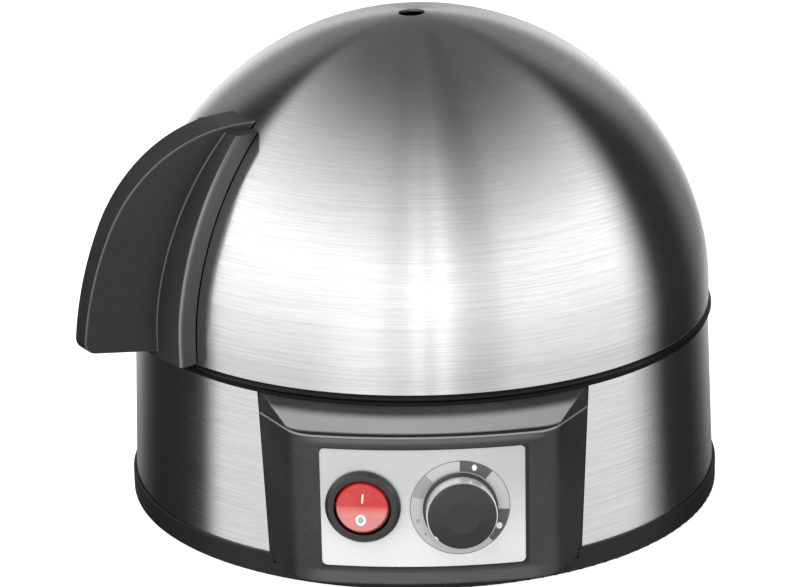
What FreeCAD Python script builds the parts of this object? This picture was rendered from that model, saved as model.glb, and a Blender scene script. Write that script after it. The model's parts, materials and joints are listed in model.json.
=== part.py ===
import FreeCAD, Part
import math
import os

# Electric egg boiler for seven eggs: a black moulded base wrapped in brushed steel, a control panel
# with a round rocker switch and a dial knob, a heated water dish, a lift-out egg tray and a steel dome lid.
# Millimetres. +Z is up, the control panel faces -Y, and the origin is on the table under the middle of
# the base. Each function makes one sub-part, and main() writes each to parts/NAME.step.

V = FreeCAD.Vector
UP = V(0, 0, 1)
MIDDLE = V(0, 0, 0)

# Clearances shared by every fit
nest_gap = 0.15  # between fixed shells that nest in each other
lift_gap = 0.3  # under and around what lifts off
spin_gap = 0.06  # radial, around a turning pin or shaft
cut_overrun = 3.0  # how far a cutting tool runs past what it cuts

# Body: the steel band tapers from the tray up to the lid
body_radius = 95.9  # band, outside, at its top
body_taper = 2.1  # how much wider the band is at the tray
band_height = 52.6  # seen height of the band
band_thickness = 0.6
band_seat = 1.5  # how deep the band stands in the tray

# Base tray and its feet
foot_height = 2.0
foot_radius = 8.0
foot_stem_radius = 2.9
foot_head_radius = 3.9
foot_head_height = 1.3
foot_edge = 0.8
foot_inset = 16.0  # foot centre, in from the tray's lip
foot_count = 4
tray_rim_height = 7.7
tray_lip = 0.9
tray_edge = 1.1  # rounding of the lower outer edge
tray_lip_edge = 0.35  # bevel of the lip
tray_floor = 2.4
tray_floor_lift = 2.0  # floor above the rim's lower edge
tray_step = 3.6  # width of the step the shells stand on
vent_count = 10
vent_width = 4.0
vent_length = 18.0
vent_start = 22.0  # radius where a vent slot starts

# Tray screws
screw_count = 4
screw_first = 45.0  # degrees to the first screw
screw_inset = 7.4  # screw axis, in from the housing's outside
screw_radius = 1.75
screw_length = 13.0
screw_head_radius = 3.3
screw_head_height = 2.2
screw_slot = 1.0
screw_slot_depth = 1.1
well_wall = 2.0
well_height = 5.0  # how far the screw wells rise above the tray's underside
well_web = 2.0  # web that the screw head pulls on

# Base housing: the moulded shell behind the band, and the collar on it that carries lid and dish
housing_wall = 2.4
rim_thickness = 1.1
rim_overhang = 0.3
rim_edge = 0.35
upstand_height = 4.0
upstand_wall = 1.8
ledge_width = 7.5
ledge_thickness = 2.2
window_half_width = 34.0
window_margin = 6.0  # window edges, in from the tray's top and the ledge
column_radius = 4.5
collar_spigot = 3.0  # how far the collar's ring reaches down inside the housing
collar_spigot_wall = 1.5

# Lid
lid_step = 0.17  # lid wall outside the band's top
lid_wall = 0.8
lid_height = 100.0  # bead's underside to the apex
lid_straight = 8.5  # height of the upright wall
lid_squareness = 4.918  # how fast the shoulder's arc tightens as the dome gets flatter than a half ball
lid_slack = 1.05  # radial room round the upstand
bead_radius = 0.75
bead_reach = 0.28  # bead centre, out from the wall
vent_radius = 4.3
vent_forward = 3.0  # steam hole, in front of the apex
vent_sideways = 1.5  # and to the handle's side of it

# Lid handle
handle_turn = 31.8  # degrees from the left side towards the front
handle_spread = 20.8  # degrees of the dome that the handle's foot covers
handle_skin = 6.2  # thickness of the foot
handle_drop = 25.3  # top of the handle, under the apex
handle_reach = 31.0  # grip, out from the lid's wall
handle_low_curve = 104.8  # radius of the spine's lower arc
handle_top_curve = 50.8  # radius of the spine's upper arc
grip_tip_thickness = 7.2
grip_draft = 4.1  # degrees that each side of the grip leans out towards the dome
grip_lift = 5.6  # grip's underside above the foot's, at the tip
grip_slope = 8.0  # degrees that the underside falls towards the dome
grip_corner = 4.0
grip_wall = 2.0
grip_edge = 0.7
foot_lift = 0.6  # handle foot above the lid's bead
handle_boss_radius = 3.6
handle_boss_length = 12.0
handle_rib = 1.6  # rib that ties each boss to the grip's two sides
handle_screw_turns = (4.0, 25.0)  # degrees up the crown's arc from its lower end
handle_foot_sweep = 60.0  # degrees of the dome that the foot is drawn over before its top is cut off
handle_foot_step = 2.2  # top of the foot, under the top of the grip
handle_foot_edge = 1.3  # rounding of the foot's outer edges
handle_root = 0.5  # rounding where the grip's sides meet the foot
handle_screw_radius = 1.7
handle_screw_length = 10.0
handle_screw_head = 3.2
handle_screw_head_height = 2.0
handle_washer_radius = 4.6
handle_washer_thickness = 0.8

# Control panel
panel_reach = 8.0  # panel front, out from the band's foot
panel_curve = 160.0  # radius of the front
panel_half_width = 39.4  # to where its front and sides would meet if the corners were sharp
panel_root_half_width = 50.0  # where the panel's sides meet the band
panel_run_share = 1.5  # how far the side runs on behind the band, as a share of its own length
panel_foot_drop = 2.7  # panel's underside under the tray's top
panel_brow = 6.3  # height of the sloping top
panel_wall = 2.2
panel_corner_radius = 12.0  # rounding of the front corners, seen from above
panel_rounding = 0.8
panel_lip = 1.0  # how far behind the front its brow starts, which leaves a rounded lip
panel_seam_corner = 1.5  # how much of the seam's end the corner takes up
panel_seam = 0.4  # top of the brow, out from the band's top
panel_roof = 1.2  # extra thickness over the panel's hollow
panel_screw_angle = 24.0
panel_screw_height = 30.0
panel_boss_radius = 3.4
panel_screw_length = 8.0

# Fascia plate
fascia_width = 63.0
fascia_height = 38.6
fascia_low = 13.0  # its lower edge, above the table
fascia_across = -0.6  # its middle, to the right
fascia_thickness = 0.7
fascia_recess = 1.0
fascia_corner = 1.5

# Round rocker switch, with a standard 20 mm body
switch_across = -19.0
switch_up = 33.1
bezel_radius = 11.7
bezel_height = 2.0
bezel_slope = 1.1
barrel_radius = 9.9
barrel_depth = 18.0
rocker_bore = 8.85
rocker_bore_depth = 9.5
rocker_radius = 8.7
rocker_pivot_depth = 1.2  # rocker's axis, behind the fascia
rocker_rise = 3.6  # rocker face over its axis, at the middle
rocker_belly = 4.5  # rocker under its axis
rocker_throw = 18.0  # degrees from ON to OFF
trunnion_radius = 1.1
trunnion_length = 0.65
blade_width = 4.8
blade_thickness = 0.8
blade_length = 8.0
blade_pitch = 6.0

# Dial knob, shaft and heat regulator
knob_across = 10.8
knob_up = 32.4
knob_gap = 0.5
skirt_radius = 11.6
skirt_height = 1.6
knob_ring_radius = 10.9
knob_ring_wall = 0.6
knob_ring_height = 4.7
knob_cap_height = 1.8
knob_cap_step = 0.35
knob_crown = 0.7
knob_notch_radius = 0.9
knob_pocket_radius = 7.6
knob_pocket_height = 2.6
notch_angle = 220.0  # degrees from three o'clock, where the pointer rests
shaft_radius = 3.0
shaft_end = 6.0  # shaft's end, out from the fascia
shaft_flat = 0.8
shaft_depth = 14.0
bushing_radius = 4.6
nut_across = 12.0
nut_thickness = 1.9
regulator_width = 26.0
regulator_height = 24.0
regulator_depth = 15.0

# Heated dish
dish_wall = 1.0
dish_gap = 0.5
dish_depth = 14.6
dish_slope = 10.0  # how far the wall leans in
dish_fillet = 4.0
seal_thickness = 0.8
stud_count = 3
stud_first = 90.0  # degrees to the first stud, clear of the screw columns
stud_radius = 1.5
stud_length = 8.5
stud_inset = 3.2
stud_nut_across = 5.5
stud_nut_thickness = 2.4

# Heater under the dish
spreader_radius = 56.0
spreader_thickness = 2.0
element_radius = 42.0
element_wire = 3.25
element_sweep = 318.0
element_bend = 5.0  # radius of the bends at its ends
element_leg = 5.0  # straight part of each leg
insulator_radius = 4.2
insulator_height = 4.0
heater_pin_radius = 1.4
heater_pin_length = 7.0
cutout_radius = 8.0
cutout_height = 7.5
cutout_stem_share = 0.8  # width of the case's lower half, as a share of the upper's
strap_width = 9.0
strap_thickness = 1.0
strap_span = 40.0
strap_screw_radius = 1.4
strap_screw_head = 2.6
strap_spacer_radius = 3.2
fuse_radius = 2.1
fuse_length = 13.0
fuse_offset = 16.0
clip_sheet = 0.6  # spring clip that holds the fuse
clip_width = 5.0
clip_flange = 3.0

# Electrics on the tray floor
block_length = 30.0
block_depth = 16.0
block_height = 13.0
block_back = 52.0  # its middle, behind the centre
block_screw_radius = 2.0
block_screw_height = 1.2
buzzer_radius = 12.0
buzzer_height = 9.0
buzzer_across = -46.0
buzzer_back = 22.0
buzzer_hole = 1.6
floor_ear = 6.0  # square ear under each screw of what stands on the floor
floor_ear_thickness = 2.5
floor_screw_radius = 1.45
floor_screw_head = 2.6
floor_screw_bite = 1.8  # how far a screw goes into the floor
clamp_length = 24.0  # clamp for the mains lead
clamp_depth = 7.0
clamp_back = 70.0
clamp_wall = 2.0
gland_up = 20.0
gland_bore = 3.4
gland_wall = 1.9
gland_flange = 8.0
gland_flange_thickness = 2.6
gland_nut_radius = 7.4
gland_nut_thickness = 2.4

# Egg tray
egg_tray_gap = 1.4
egg_tray_sheet = 1.0
egg_tray_skirt = 5.0
egg_hole_radius = 19.0
egg_pitch = 53.0
egg_ring_count = 6
egg_lip_depth = 1.7
egg_lip_draw = 0.6
steam_hole_radius = 3.0
steam_hole_pitch = 31.0
grip_tab_width = 26.0
grip_tab_thickness = 4.5
grip_tab_height = 24.0
grip_tab_inset = 13.0
grip_tab_top_share = 0.8  # width of a tab's top, as a share of its foot's
grip_tab_foot = 12.0
grip_tab_foot_thickness = 2.2
rivet_radius = 1.6
rivet_head_radius = 2.9
rivet_head_height = 1.0
rivet_spacing = 18.0

# Heights, stacked up from the table
tray_bottom = foot_height
tray_top = tray_bottom + tray_rim_height
seat_z = tray_top - band_seat
floor_bottom = tray_bottom + tray_floor_lift
floor_top = floor_bottom + tray_floor
well_top = floor_bottom + well_height
well_web_low = well_top - well_web
band_top = tray_top + band_height
rim_bottom = band_top + nest_gap
rim_top = rim_bottom + rim_thickness
upstand_top = rim_top + upstand_height
ledge_top = band_top
ledge_bottom = ledge_top - ledge_thickness
flange_bottom = ledge_top + seal_thickness
flange_top = flange_bottom + dish_wall
dish_floor = flange_bottom - dish_depth  # underside of the dish
lid_bottom = rim_top + lift_gap
bead_top = lid_bottom + 2 * bead_radius
lid_top = lid_bottom + lid_height
dome_rise = lid_height - lid_straight
panel_low = tray_top - panel_foot_drop
panel_high = band_top - panel_brow

# Radii that follow the body
band_foot_radius = body_radius + body_taper
rim_radius = body_radius + rim_overhang
lid_radius = body_radius + lid_step
lid_shoulder = dome_rise * (dome_rise / lid_radius) ** lid_squareness
upstand_outer = lid_radius - lid_wall - lid_slack
upstand_inner = upstand_outer - upstand_wall
flange_radius = upstand_inner - dish_gap
ledge_radius = upstand_inner - ledge_width
dish_mouth = ledge_radius - dish_gap
dish_foot = dish_mouth - dish_slope
egg_tray_radius = upstand_inner - egg_tray_gap
panel_front = band_foot_radius + panel_reach
fascia_face = panel_curve - fascia_recess + fascia_thickness


def band_radius(height):
    """Outside of the steel band, or of its line carried on, at a height."""
    return body_radius + body_taper * (band_top - height) / band_height


def housing_radius(height):
    """Outside of the moulded housing at a height: it follows the band's inside."""
    return band_radius(height) - band_thickness - nest_gap


tray_lip_inner = band_radius(seat_z) + nest_gap
tray_radius = tray_lip_inner + tray_lip
foot_circle = tray_lip_inner - foot_inset
column_circle = housing_radius(band_top) - screw_inset


def rounded_wire(corners, level=None):
    """Closed wire through (x, z, rounding) corners: upright in the XZ plane, or flat at a level."""
    points = [V(x, 0, z) if level is None else V(x, z, level) for x, z, rounding in corners]
    ends = []
    arcs = []
    for i, point in enumerate(points):
        rounding = corners[i][2]
        back = points[i - 1] - point
        ahead = points[(i + 1) % len(points)] - point
        half = back.getAngle(ahead) / 2
        back.normalize()
        ahead.normalize()
        trim = rounding / math.tan(half)
        first = point + back * trim
        last = point + ahead * trim
        ends.append((first, last))
        if rounding > 0:
            toward = (back + ahead).normalize()
            crest = point + toward * (rounding / math.sin(half) - rounding)
            arcs.append(Part.Arc(first, crest, last).toShape())
        else:
            arcs.append(None)
    edges = []
    for i in range(len(points)):
        if arcs[i]:
            edges.append(arcs[i])
        start = ends[i][1]
        stop = ends[(i + 1) % len(points)][0]
        edges.append(Part.LineSegment(start, stop).toShape())
    return Part.Wire(edges)


def spun(corners, sweep=360.0):
    """Solid turned about the Z axis from (radius, height, rounding) corners."""
    return Part.Face(rounded_wire(corners)).revolve(MIDDLE, UP, sweep)


def tube(outer, inner, low, high):
    """Plain upright tube."""
    return spun([(outer, low, 0), (outer, high, 0), (inner, high, 0), (inner, low, 0)])


def rod(radius, low, high, x=0.0, y=0.0):
    """Upright cylinder."""
    return Part.makeCylinder(radius, high - low, V(x, y, low))


def drill(radius, low, high, x=0.0, y=0.0):
    """Cutting rod that runs past both faces of what it cuts."""
    return rod(radius, low - cut_overrun, high + cut_overrun, x, y)


def block(width, depth, low, high, x=0.0, y=0.0):
    """Upright box about an axis at x, y."""
    return Part.makeBox(width, depth, high - low, V(x - width / 2, y - depth / 2, low))


def hexagon(across, low, high):
    """Upright hexagonal prism."""
    corner = V(across / math.sqrt(3), 0, low)
    points = [FreeCAD.Rotation(UP, k * 60).multVec(corner) for k in range(6)]
    return Part.Face(Part.makePolygon(points + points[:1])).extrude(UP * (high - low))


def turned(shape, degrees):
    """Copy turned about the Z axis."""
    copy = shape.copy()
    copy.rotate(MIDDLE, UP, degrees)
    return copy


def around(shape, count, first=0.0):
    """Copies spaced evenly about the Z axis."""
    return [turned(shape, first + k * 360.0 / count) for k in range(count)]


def moved(shape, x, y, z):
    """Copy moved by x, y, z."""
    copy = shape.copy()
    copy.translate(V(x, y, z))
    return copy


def forward_rod(radius, start, stop, height):
    """Cylinder towards the front, between two distances from the axis, at a height."""
    return Part.makeCylinder(radius, stop - start, V(0, -start, height), V(0, -1, 0))


def fused(shapes):
    """One solid from shapes that meet."""
    return shapes[0].fuse(shapes[1:]).removeSplitter()


def pan_screw(radius, length, head_radius, head_height, slot, slot_depth):
    """Screw standing on its head: shank up from z = 0, slotted head below."""
    rim = [(head_radius, -head_height, head_height / 3), (head_radius, 0, 0)]
    head = spun([(0, -head_height, 0)] + rim + [(0, 0, 0)])
    shank = rod(radius, 0, length)
    driver = block(2 * head_radius, slot, -head_height, slot_depth - head_height)
    return fused([head, shank]).cut(driver)


def case_screw(length):
    """Self-tapping screw of the size used for the tray and the panel."""
    return pan_screw(screw_radius, length, screw_head_radius, screw_head_height, screw_slot, screw_slot_depth)


def at_corners(shape):
    """Copies where the tray screws and the housing's columns stand."""
    return around(moved(shape, column_circle, 0, 0), screw_count, screw_first)


def base_tray():
    """Moulded tray that closes the base: rim, stepped seat, vented floor and screw wells."""
    step_inner = tray_lip_inner - tray_step
    shell = spun(
        [
            (0, floor_bottom, 0),
            (step_inner - tray_floor, floor_bottom, 0),
            (step_inner, tray_bottom, 0),
            (tray_radius, tray_bottom, tray_edge),
            (tray_radius, tray_top - tray_lip_edge, 0),
            (tray_radius - tray_lip_edge, tray_top, 0),
            (tray_lip_inner, tray_top, 0),
            (tray_lip_inner, seat_z, 0),
            (step_inner, seat_z, 0),
            (step_inner, floor_top, 0),
            (0, floor_top, 0),
        ]
    )
    well_radius = screw_radius + nest_gap + well_wall + screw_head_radius / 2
    shell = fused([shell] + at_corners(rod(well_radius, floor_bottom, well_top)))
    cuts = at_corners(rod(screw_head_radius + nest_gap, floor_bottom - cut_overrun, well_web_low))
    cuts += at_corners(drill(screw_radius + nest_gap, well_web_low, well_top))
    stem = drill(foot_stem_radius + spin_gap, floor_bottom, floor_top)
    cuts += around(moved(stem, foot_circle, 0, 0), foot_count)
    slot = block(vent_length, vent_width, floor_bottom - cut_overrun, floor_top + cut_overrun)
    cuts += around(moved(slot, vent_start + vent_length / 2, 0, 0), vent_count)
    pilot_low = floor_top - floor_screw_bite - nest_gap
    cuts += at_floor_screws(rod(floor_screw_radius + spin_gap, pilot_low, floor_top + cut_overrun))
    notch_low = panel_low - nest_gap
    notch = moved(panel_plan(nest_gap), 0, 0, notch_low).extrude(UP * (tray_top + cut_overrun - notch_low))
    ring_inner = housing_radius(seat_z) + nest_gap
    ring = tube(tray_radius + panel_reach + cut_overrun, ring_inner, tray_bottom, tray_top + cut_overrun)
    return shell.cut(cuts + [notch.common(ring)])


def rubber_feet():
    """Rubber feet with a stem and head pushed through the tray's floor."""
    foot = spun(
        [
            (0, 0, 0),
            (foot_radius, 0, foot_edge),
            (foot_radius, floor_bottom, 0),
            (foot_stem_radius, floor_bottom, 0),
            (foot_stem_radius, floor_top, 0),
            (foot_head_radius, floor_top, 0),
            (foot_stem_radius, floor_top + foot_head_height, 0),
            (0, floor_top + foot_head_height, 0),
        ]
    )
    return around(moved(foot, foot_circle, 0, 0), foot_count)


def tray_screws():
    """Screws from below that hold the tray to the housing's columns."""
    return at_corners(moved(case_screw(screw_length), 0, 0, well_web_low))


def band_shell(low, high, outer_at, thickness):
    """Tapered tube whose outside follows a radius given by height."""
    return spun(
        [
            (outer_at(low), low, 0),
            (outer_at(high), high, 0),
            (outer_at(high) - thickness, high, 0),
            (outer_at(low) - thickness, low, 0),
        ]
    )


def steel_band():
    """Brushed sheet wrapped round the housing, open where the panel stands."""
    band = band_shell(seat_z, band_top, band_radius, band_thickness)
    opening = panel_plan(nest_gap).extrude(UP * (band_top - seat_z + 2 * cut_overrun))
    opening.translate(UP * (seat_z - cut_overrun))
    return band.cut([opening, gland_drill(gland_bore + gland_wall + spin_gap)])


def base_housing():
    """Moulded shell behind the band, with the panel's window and the holes for its screws and the gland."""
    inner = lambda height: housing_radius(height) - housing_wall
    shell = spun(
        [
            (housing_radius(seat_z), seat_z, 0),
            (housing_radius(ledge_bottom), ledge_bottom, 0),
            (inner(ledge_bottom), ledge_bottom, 0),
            (inner(seat_z), seat_z, 0),
        ]
    )
    window_low = tray_top + window_margin
    window_high = ledge_bottom - window_margin
    window = block(2 * window_half_width, band_foot_radius, window_low, window_high, 0, -band_foot_radius)
    inside = housing_radius(panel_screw_height) - housing_wall
    screw_hole = forward_rod(
        screw_radius + nest_gap, inside - cut_overrun, inside + housing_wall + cut_overrun, panel_screw_height
    )
    return shell.cut([window, gland_drill(gland_bore + gland_wall + spin_gap)] + at_panel_screws(screw_hole))


def rim_collar():
    """Collar on the housing: rim for the lid, ledge for the dish, and columns for the tray screws."""
    spigot_outer = housing_radius(ledge_bottom) - housing_wall - nest_gap
    spigot_low = ledge_bottom - collar_spigot
    collar = spun(
        [
            (housing_radius(ledge_bottom), ledge_bottom, 0),
            (housing_radius(rim_bottom), rim_bottom, 0),
            (rim_radius, rim_bottom, 0),
            (rim_radius, rim_top, rim_edge),
            (upstand_outer, rim_top, 0),
            (upstand_outer, upstand_top, upstand_wall / 3),
            (upstand_inner, upstand_top, upstand_wall / 3),
            (upstand_inner, ledge_top, 0),
            (ledge_radius, ledge_top, 0),
            (ledge_radius, ledge_bottom, 0),
            (spigot_outer - collar_spigot_wall, ledge_bottom, 0),
            (spigot_outer - collar_spigot_wall, spigot_low, 0),
            (spigot_outer, spigot_low, 0),
            (spigot_outer, ledge_bottom, 0),
        ]
    )
    rib_depth = housing_radius(well_top) - column_circle
    rib = block(rib_depth, housing_wall / 2, well_top, ledge_bottom, column_circle + rib_depth / 2)
    rib = rib.common(housing_core(-housing_wall - nest_gap))
    collar = fused([collar] + at_corners(rod(column_radius, well_top, ledge_bottom)))
    collar = fused([collar] + around(rib, screw_count, screw_first))
    cuts = at_corners(rod(screw_radius + spin_gap, well_top - cut_overrun, well_top + screw_length))
    cuts += at_studs(rod(stud_nut_across / math.sqrt(3) + nest_gap, spigot_low - cut_overrun, ledge_bottom))
    return collar.cut(cuts + at_studs(drill(stud_radius + nest_gap, ledge_bottom, ledge_top)))


def at_studs(shape):
    """Copies where the dish's studs go through the ledge."""
    return around(moved(shape, flange_radius - stud_inset, 0, 0), stud_count, stud_first)


def at_panel_screws(shape):
    """Copies at the two panel screws, from a shape that stands over the panel's middle."""
    return [turned(shape, side * panel_screw_angle) for side in (-1, 1)]


def gland_drill(radius):
    """Drill through the rear wall for the cord gland."""
    start = housing_radius(gland_up) - housing_wall - gland_nut_thickness - cut_overrun
    length = housing_wall + gland_nut_thickness + band_thickness + gland_flange_thickness + 2 * cut_overrun
    return Part.makeCylinder(radius, length, V(0, start, gland_up), V(0, 1, 0))


def on_circle(middle_y, radius, x, level):
    """Point at x on the front half of a level circle about (0, middle_y)."""
    return V(x, middle_y - math.sqrt(radius**2 - x**2), level)


def mirrored(point):
    """The same point on the panel's left side."""
    return V(-point.x, point.y, point.z)


def panel_side(level):
    """Corner, root and back end of the line of the panel's right side."""
    corner = on_circle(panel_curve - panel_front, panel_curve, panel_half_width, level)
    root = on_circle(0, band_radius((tray_top + panel_high) / 2), panel_root_half_width, level)
    return corner, root, corner + (root - corner) * panel_run_share


def plan_wire(front, corner, back):
    """Level outline from the right half's points: front middle and end, corner crest and end, and back."""
    front_middle, front_end = front
    crest, side_start = corner
    edges = [
        Part.Arc(mirrored(front_end), front_middle, front_end).toShape(),
        Part.Arc(front_end, crest, side_start).toShape(),
        line(side_start, back),
        line(back, mirrored(back)),
        line(mirrored(back), mirrored(side_start)),
        Part.Arc(mirrored(side_start), mirrored(crest), mirrored(front_end)).toShape(),
    ]
    return Part.Wire(edges)


def front_wire(level, inset=0.0, setback=0.0):
    """Outline of the panel's upright part with rounded corners: moved in all round, or its front set back."""
    front_y = setback - panel_front
    middle_y = panel_curve + front_y
    corner, root, back = panel_side(level)
    along = (root - corner).normalize()
    inward = V(-along.y, along.x, 0)
    middle = V(0, middle_y, level)
    start = corner + inward * panel_corner_radius - middle
    reach = start.dot(along)
    slide = math.sqrt(reach**2 - start.dot(start) + (panel_curve - panel_corner_radius) ** 2) - reach
    other = -2 * reach - slide
    centre = start + along * (slide if abs(slide) < abs(other) else other) + middle
    outward = (centre - middle).normalize()
    front = V(0, front_y, level), centre + outward * panel_corner_radius
    crest = centre + (outward - inward).normalize() * panel_corner_radius
    wire = plan_wire(front, (crest, centre - inward * panel_corner_radius), back)
    return wire.makeOffset2D(-inset) if inset else wire


def seam_wire():
    """Outline of the top of the brow, along the body's seam."""
    seam = body_radius + panel_seam
    at = lambda inset: on_circle(0, seam, panel_root_half_width - inset, band_top)
    back = panel_side(band_top)[2]
    return plan_wire((V(0, -seam, band_top), at(panel_seam_corner)), (at(panel_seam_corner / 2), at(0)), back)


def panel_plan(grow):
    """Face of the panel seen from above, at z = 0, grown outwards by a gap."""
    return Part.Face(front_wire(0, -grow))


def housing_core(gap):
    """Solid that fills the housing's outside, grown by a gap, for cutting what seats against it."""
    low = seat_z - cut_overrun
    high = rim_bottom + cut_overrun
    return Part.makeCone(housing_radius(low) + gap, housing_radius(high) + gap, high - low, V(0, 0, low))


def panel_screws():
    """Screws from inside the housing that hold the panel."""
    screw = case_screw(panel_screw_length)
    screw.rotate(MIDDLE, V(1, 0, 0), 90)
    inside = housing_radius(panel_screw_height) - housing_wall
    seat = math.sqrt(inside**2 - screw_head_radius**2) - nest_gap
    return at_panel_screws(moved(screw, 0, -seat, panel_screw_height))


def panel_housing():
    """Moulded panel: curved front, sloping brow, hollow behind, with a recess for the fascia."""
    front = Part.Face(front_wire(panel_high)).extrude(UP * (panel_low - panel_high))
    front = front.makeFillet(panel_rounding, panel_edges(front))
    brow = Part.makeLoft([front_wire(panel_high, setback=panel_lip), seam_wire()], True, True)
    body = fused([front, brow])
    hollow_low = panel_low + panel_wall
    hollow_height = panel_high - panel_roof - hollow_low
    hollow = Part.Face(front_wire(hollow_low, panel_wall)).extrude(UP * hollow_height)
    seat = housing_radius(panel_screw_height) + nest_gap
    boss = forward_rod(panel_boss_radius, seat, panel_front + panel_reach, panel_screw_height)
    bosses = [placed.common(hollow) for placed in at_panel_screws(boss)]
    body = body.cut(hollow).fuse(bosses)
    inside = housing_radius(panel_screw_height) - housing_wall
    pilot_end = inside + panel_screw_length + spin_gap
    pilots = at_panel_screws(forward_rod(screw_radius + spin_gap, inside, pilot_end, panel_screw_height))
    recess = fascia_prism(nest_gap).cut(front_cylinder(panel_curve - fascia_recess))
    return body.cut([housing_core(nest_gap), recess] + panel_holes() + pilots).removeSplitter()


def panel_holes():
    """Drills through the panel and its fascia for the switch's barrel and the regulator's bushing."""
    switch = rod(barrel_radius + nest_gap, -barrel_depth, cut_overrun)
    bushing = rod(bushing_radius + nest_gap, -barrel_depth, cut_overrun)
    return [on_panel(switch, switch_across, switch_up), on_panel(bushing, knob_across, knob_up)]


def panel_edges(body):
    """The front's upper and lower edges, which are rounded."""
    chosen = []
    for edge in body.Edges:
        middle = edge.CenterOfMass
        box = edge.BoundBox
        level = box.ZLength < nest_gap
        at_end = abs(middle.z - panel_low) < nest_gap or abs(middle.z - panel_high) < nest_gap
        if level and at_end and box.YMax < 2 * panel_reach - panel_front:
            chosen.append(edge)
    return chosen


def front_cylinder(radius):
    """Upright cylinder about the axis that the panel's front is curved round."""
    return Part.makeCylinder(radius, band_top, V(0, panel_curve - panel_front, 0))


def fascia_prism(grow):
    """Rounded block that runs through the panel's front where the fascia lies, grown by a gap."""
    half = fascia_width / 2 + grow
    low = fascia_low - grow
    high = fascia_low + fascia_height + grow
    corners = [(-half, low), (half, low), (half, high), (-half, high)]
    wire = rounded_wire([(x, z, fascia_corner + grow) for x, z in corners])
    prism = Part.Face(wire).extrude(V(0, -panel_reach - panel_curve / 2, 0))
    return moved(prism, fascia_across, -panel_front + panel_curve / 4, 0)


def on_panel(shape, across, height):
    """Moves a shape from its own frame, +Z out of the panel and +Y up, to its place on the fascia."""
    lean = math.asin(across / fascia_face)
    right = V(math.cos(lean), math.sin(lean), 0)
    out = V(math.sin(lean), -math.cos(lean), 0)
    centre = V(0, panel_curve - panel_front, height) + out * fascia_face
    return shape.transformed(FreeCAD.Placement(centre, FreeCAD.Rotation(right, UP, out)).toMatrix(), True)


def fascia_plate():
    """Thin curved plate with holes for the switch and the regulator's bushing."""
    sheet = front_cylinder(fascia_face).cut(front_cylinder(fascia_face - fascia_thickness + nest_gap / 2))
    return fascia_prism(0).common(sheet).cut(panel_holes())


def switch_body():
    """Bezel and barrel of the rocker switch."""
    top = nest_gap + bezel_height
    shell = spun(
        [
            (0, -barrel_depth, 0),
            (barrel_radius, -barrel_depth, 0),
            (barrel_radius, nest_gap, 0),
            (bezel_radius, nest_gap, 0),
            (bezel_radius, top - bezel_slope, bezel_slope / 3),
            (bezel_radius - bezel_slope, top, bezel_slope / 3),
            (rocker_bore, top, bezel_slope / 4),
            (rocker_bore, -rocker_bore_depth, 0),
            (0, -rocker_bore_depth, 0),
        ]
    )
    reach = rocker_radius + trunnion_length + spin_gap
    start = V(-reach, 0, -rocker_pivot_depth)
    socket = Part.makeCylinder(trunnion_radius + spin_gap, 2 * reach, start, V(1, 0, 0))
    return on_panel(shell.cut(socket), switch_across, switch_up)


def switch_rocker():
    """Red rocker: a ball-sided button with a dished face, pressed in at the top, on two trunnions."""
    ball = Part.makeSphere(rocker_radius, MIDDLE)
    face_half = rocker_radius + cut_overrun
    tilt = rocker_throw / 2
    slab = Part.makeBox(2 * face_half, face_half, face_half, V(-face_half, 0, 0))
    upper = slab.copy()
    upper.rotate(MIDDLE, V(1, 0, 0), tilt)
    lower = moved(slab, 0, -face_half, 0)
    lower.rotate(MIDDLE, V(1, 0, 0), -tilt)
    over = [moved(part, 0, 0, rocker_rise) for part in (upper, lower)]
    under = block(2 * face_half, 2 * face_half, -rocker_belly - face_half, -rocker_belly)
    button = ball.cut(over + [under])
    reach = rocker_radius + trunnion_length
    pin = Part.makeCylinder(trunnion_radius, 2 * reach, V(-reach, 0, 0), V(1, 0, 0))
    button = fused([button, pin])
    button.rotate(MIDDLE, V(1, 0, 0), -tilt)
    return on_panel(moved(button, 0, 0, -rocker_pivot_depth), switch_across, switch_up)


def switch_terminals():
    """Three spade blades at the back of the switch."""
    blade = block(blade_width, blade_thickness, -barrel_depth - blade_length, -barrel_depth)
    return [on_panel(moved(blade, 0, k * blade_pitch, 0), switch_across, switch_up) for k in (-1, 0, 1)]


def knob_core():
    """Black knob: skirt, hub, cap with a pointer notch, and a pocket over the nut."""
    skirt_low = knob_gap
    skirt_top = skirt_low + skirt_height
    cap_low = skirt_top + knob_ring_height
    cap_top = cap_low + knob_cap_height
    inner = knob_ring_radius - knob_ring_wall - nest_gap
    cap_radius = knob_ring_radius - knob_cap_step
    core = spun(
        [
            (0, skirt_low, 0),
            (skirt_radius, skirt_low, 0),
            (skirt_radius, skirt_top, skirt_height / 4),
            (inner, skirt_top, 0),
            (inner, cap_low, 0),
            (cap_radius, cap_low, 0),
            (cap_radius, cap_top - knob_crown, knob_crown),
            (cap_radius / 2, cap_top, 0),
            (0, cap_top, 0),
        ]
    )
    pocket = rod(knob_pocket_radius, skirt_low - cut_overrun, skirt_low + knob_pocket_height)
    bore = rod(shaft_radius, skirt_low, shaft_end + nest_gap).cut(shaft_flat_block())
    notch = rod(knob_notch_radius, cap_low, cap_top + cut_overrun, cap_radius)
    notch = turned(notch, notch_angle)
    return on_panel(core.cut([pocket, bore, notch]), knob_across, knob_up)


def shaft_flat_block():
    """What the flat takes off the shaft's end."""
    middle = 2 * shaft_radius - shaft_flat
    return block(4 * shaft_radius, 2 * shaft_radius, knob_gap, shaft_end + cut_overrun, 0, middle)


def knob_ring():
    """Bright ring pressed round the knob."""
    low = knob_gap + skirt_height
    ring = tube(knob_ring_radius, knob_ring_radius - knob_ring_wall, low, low + knob_ring_height - nest_gap)
    return on_panel(ring, knob_across, knob_up)


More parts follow.
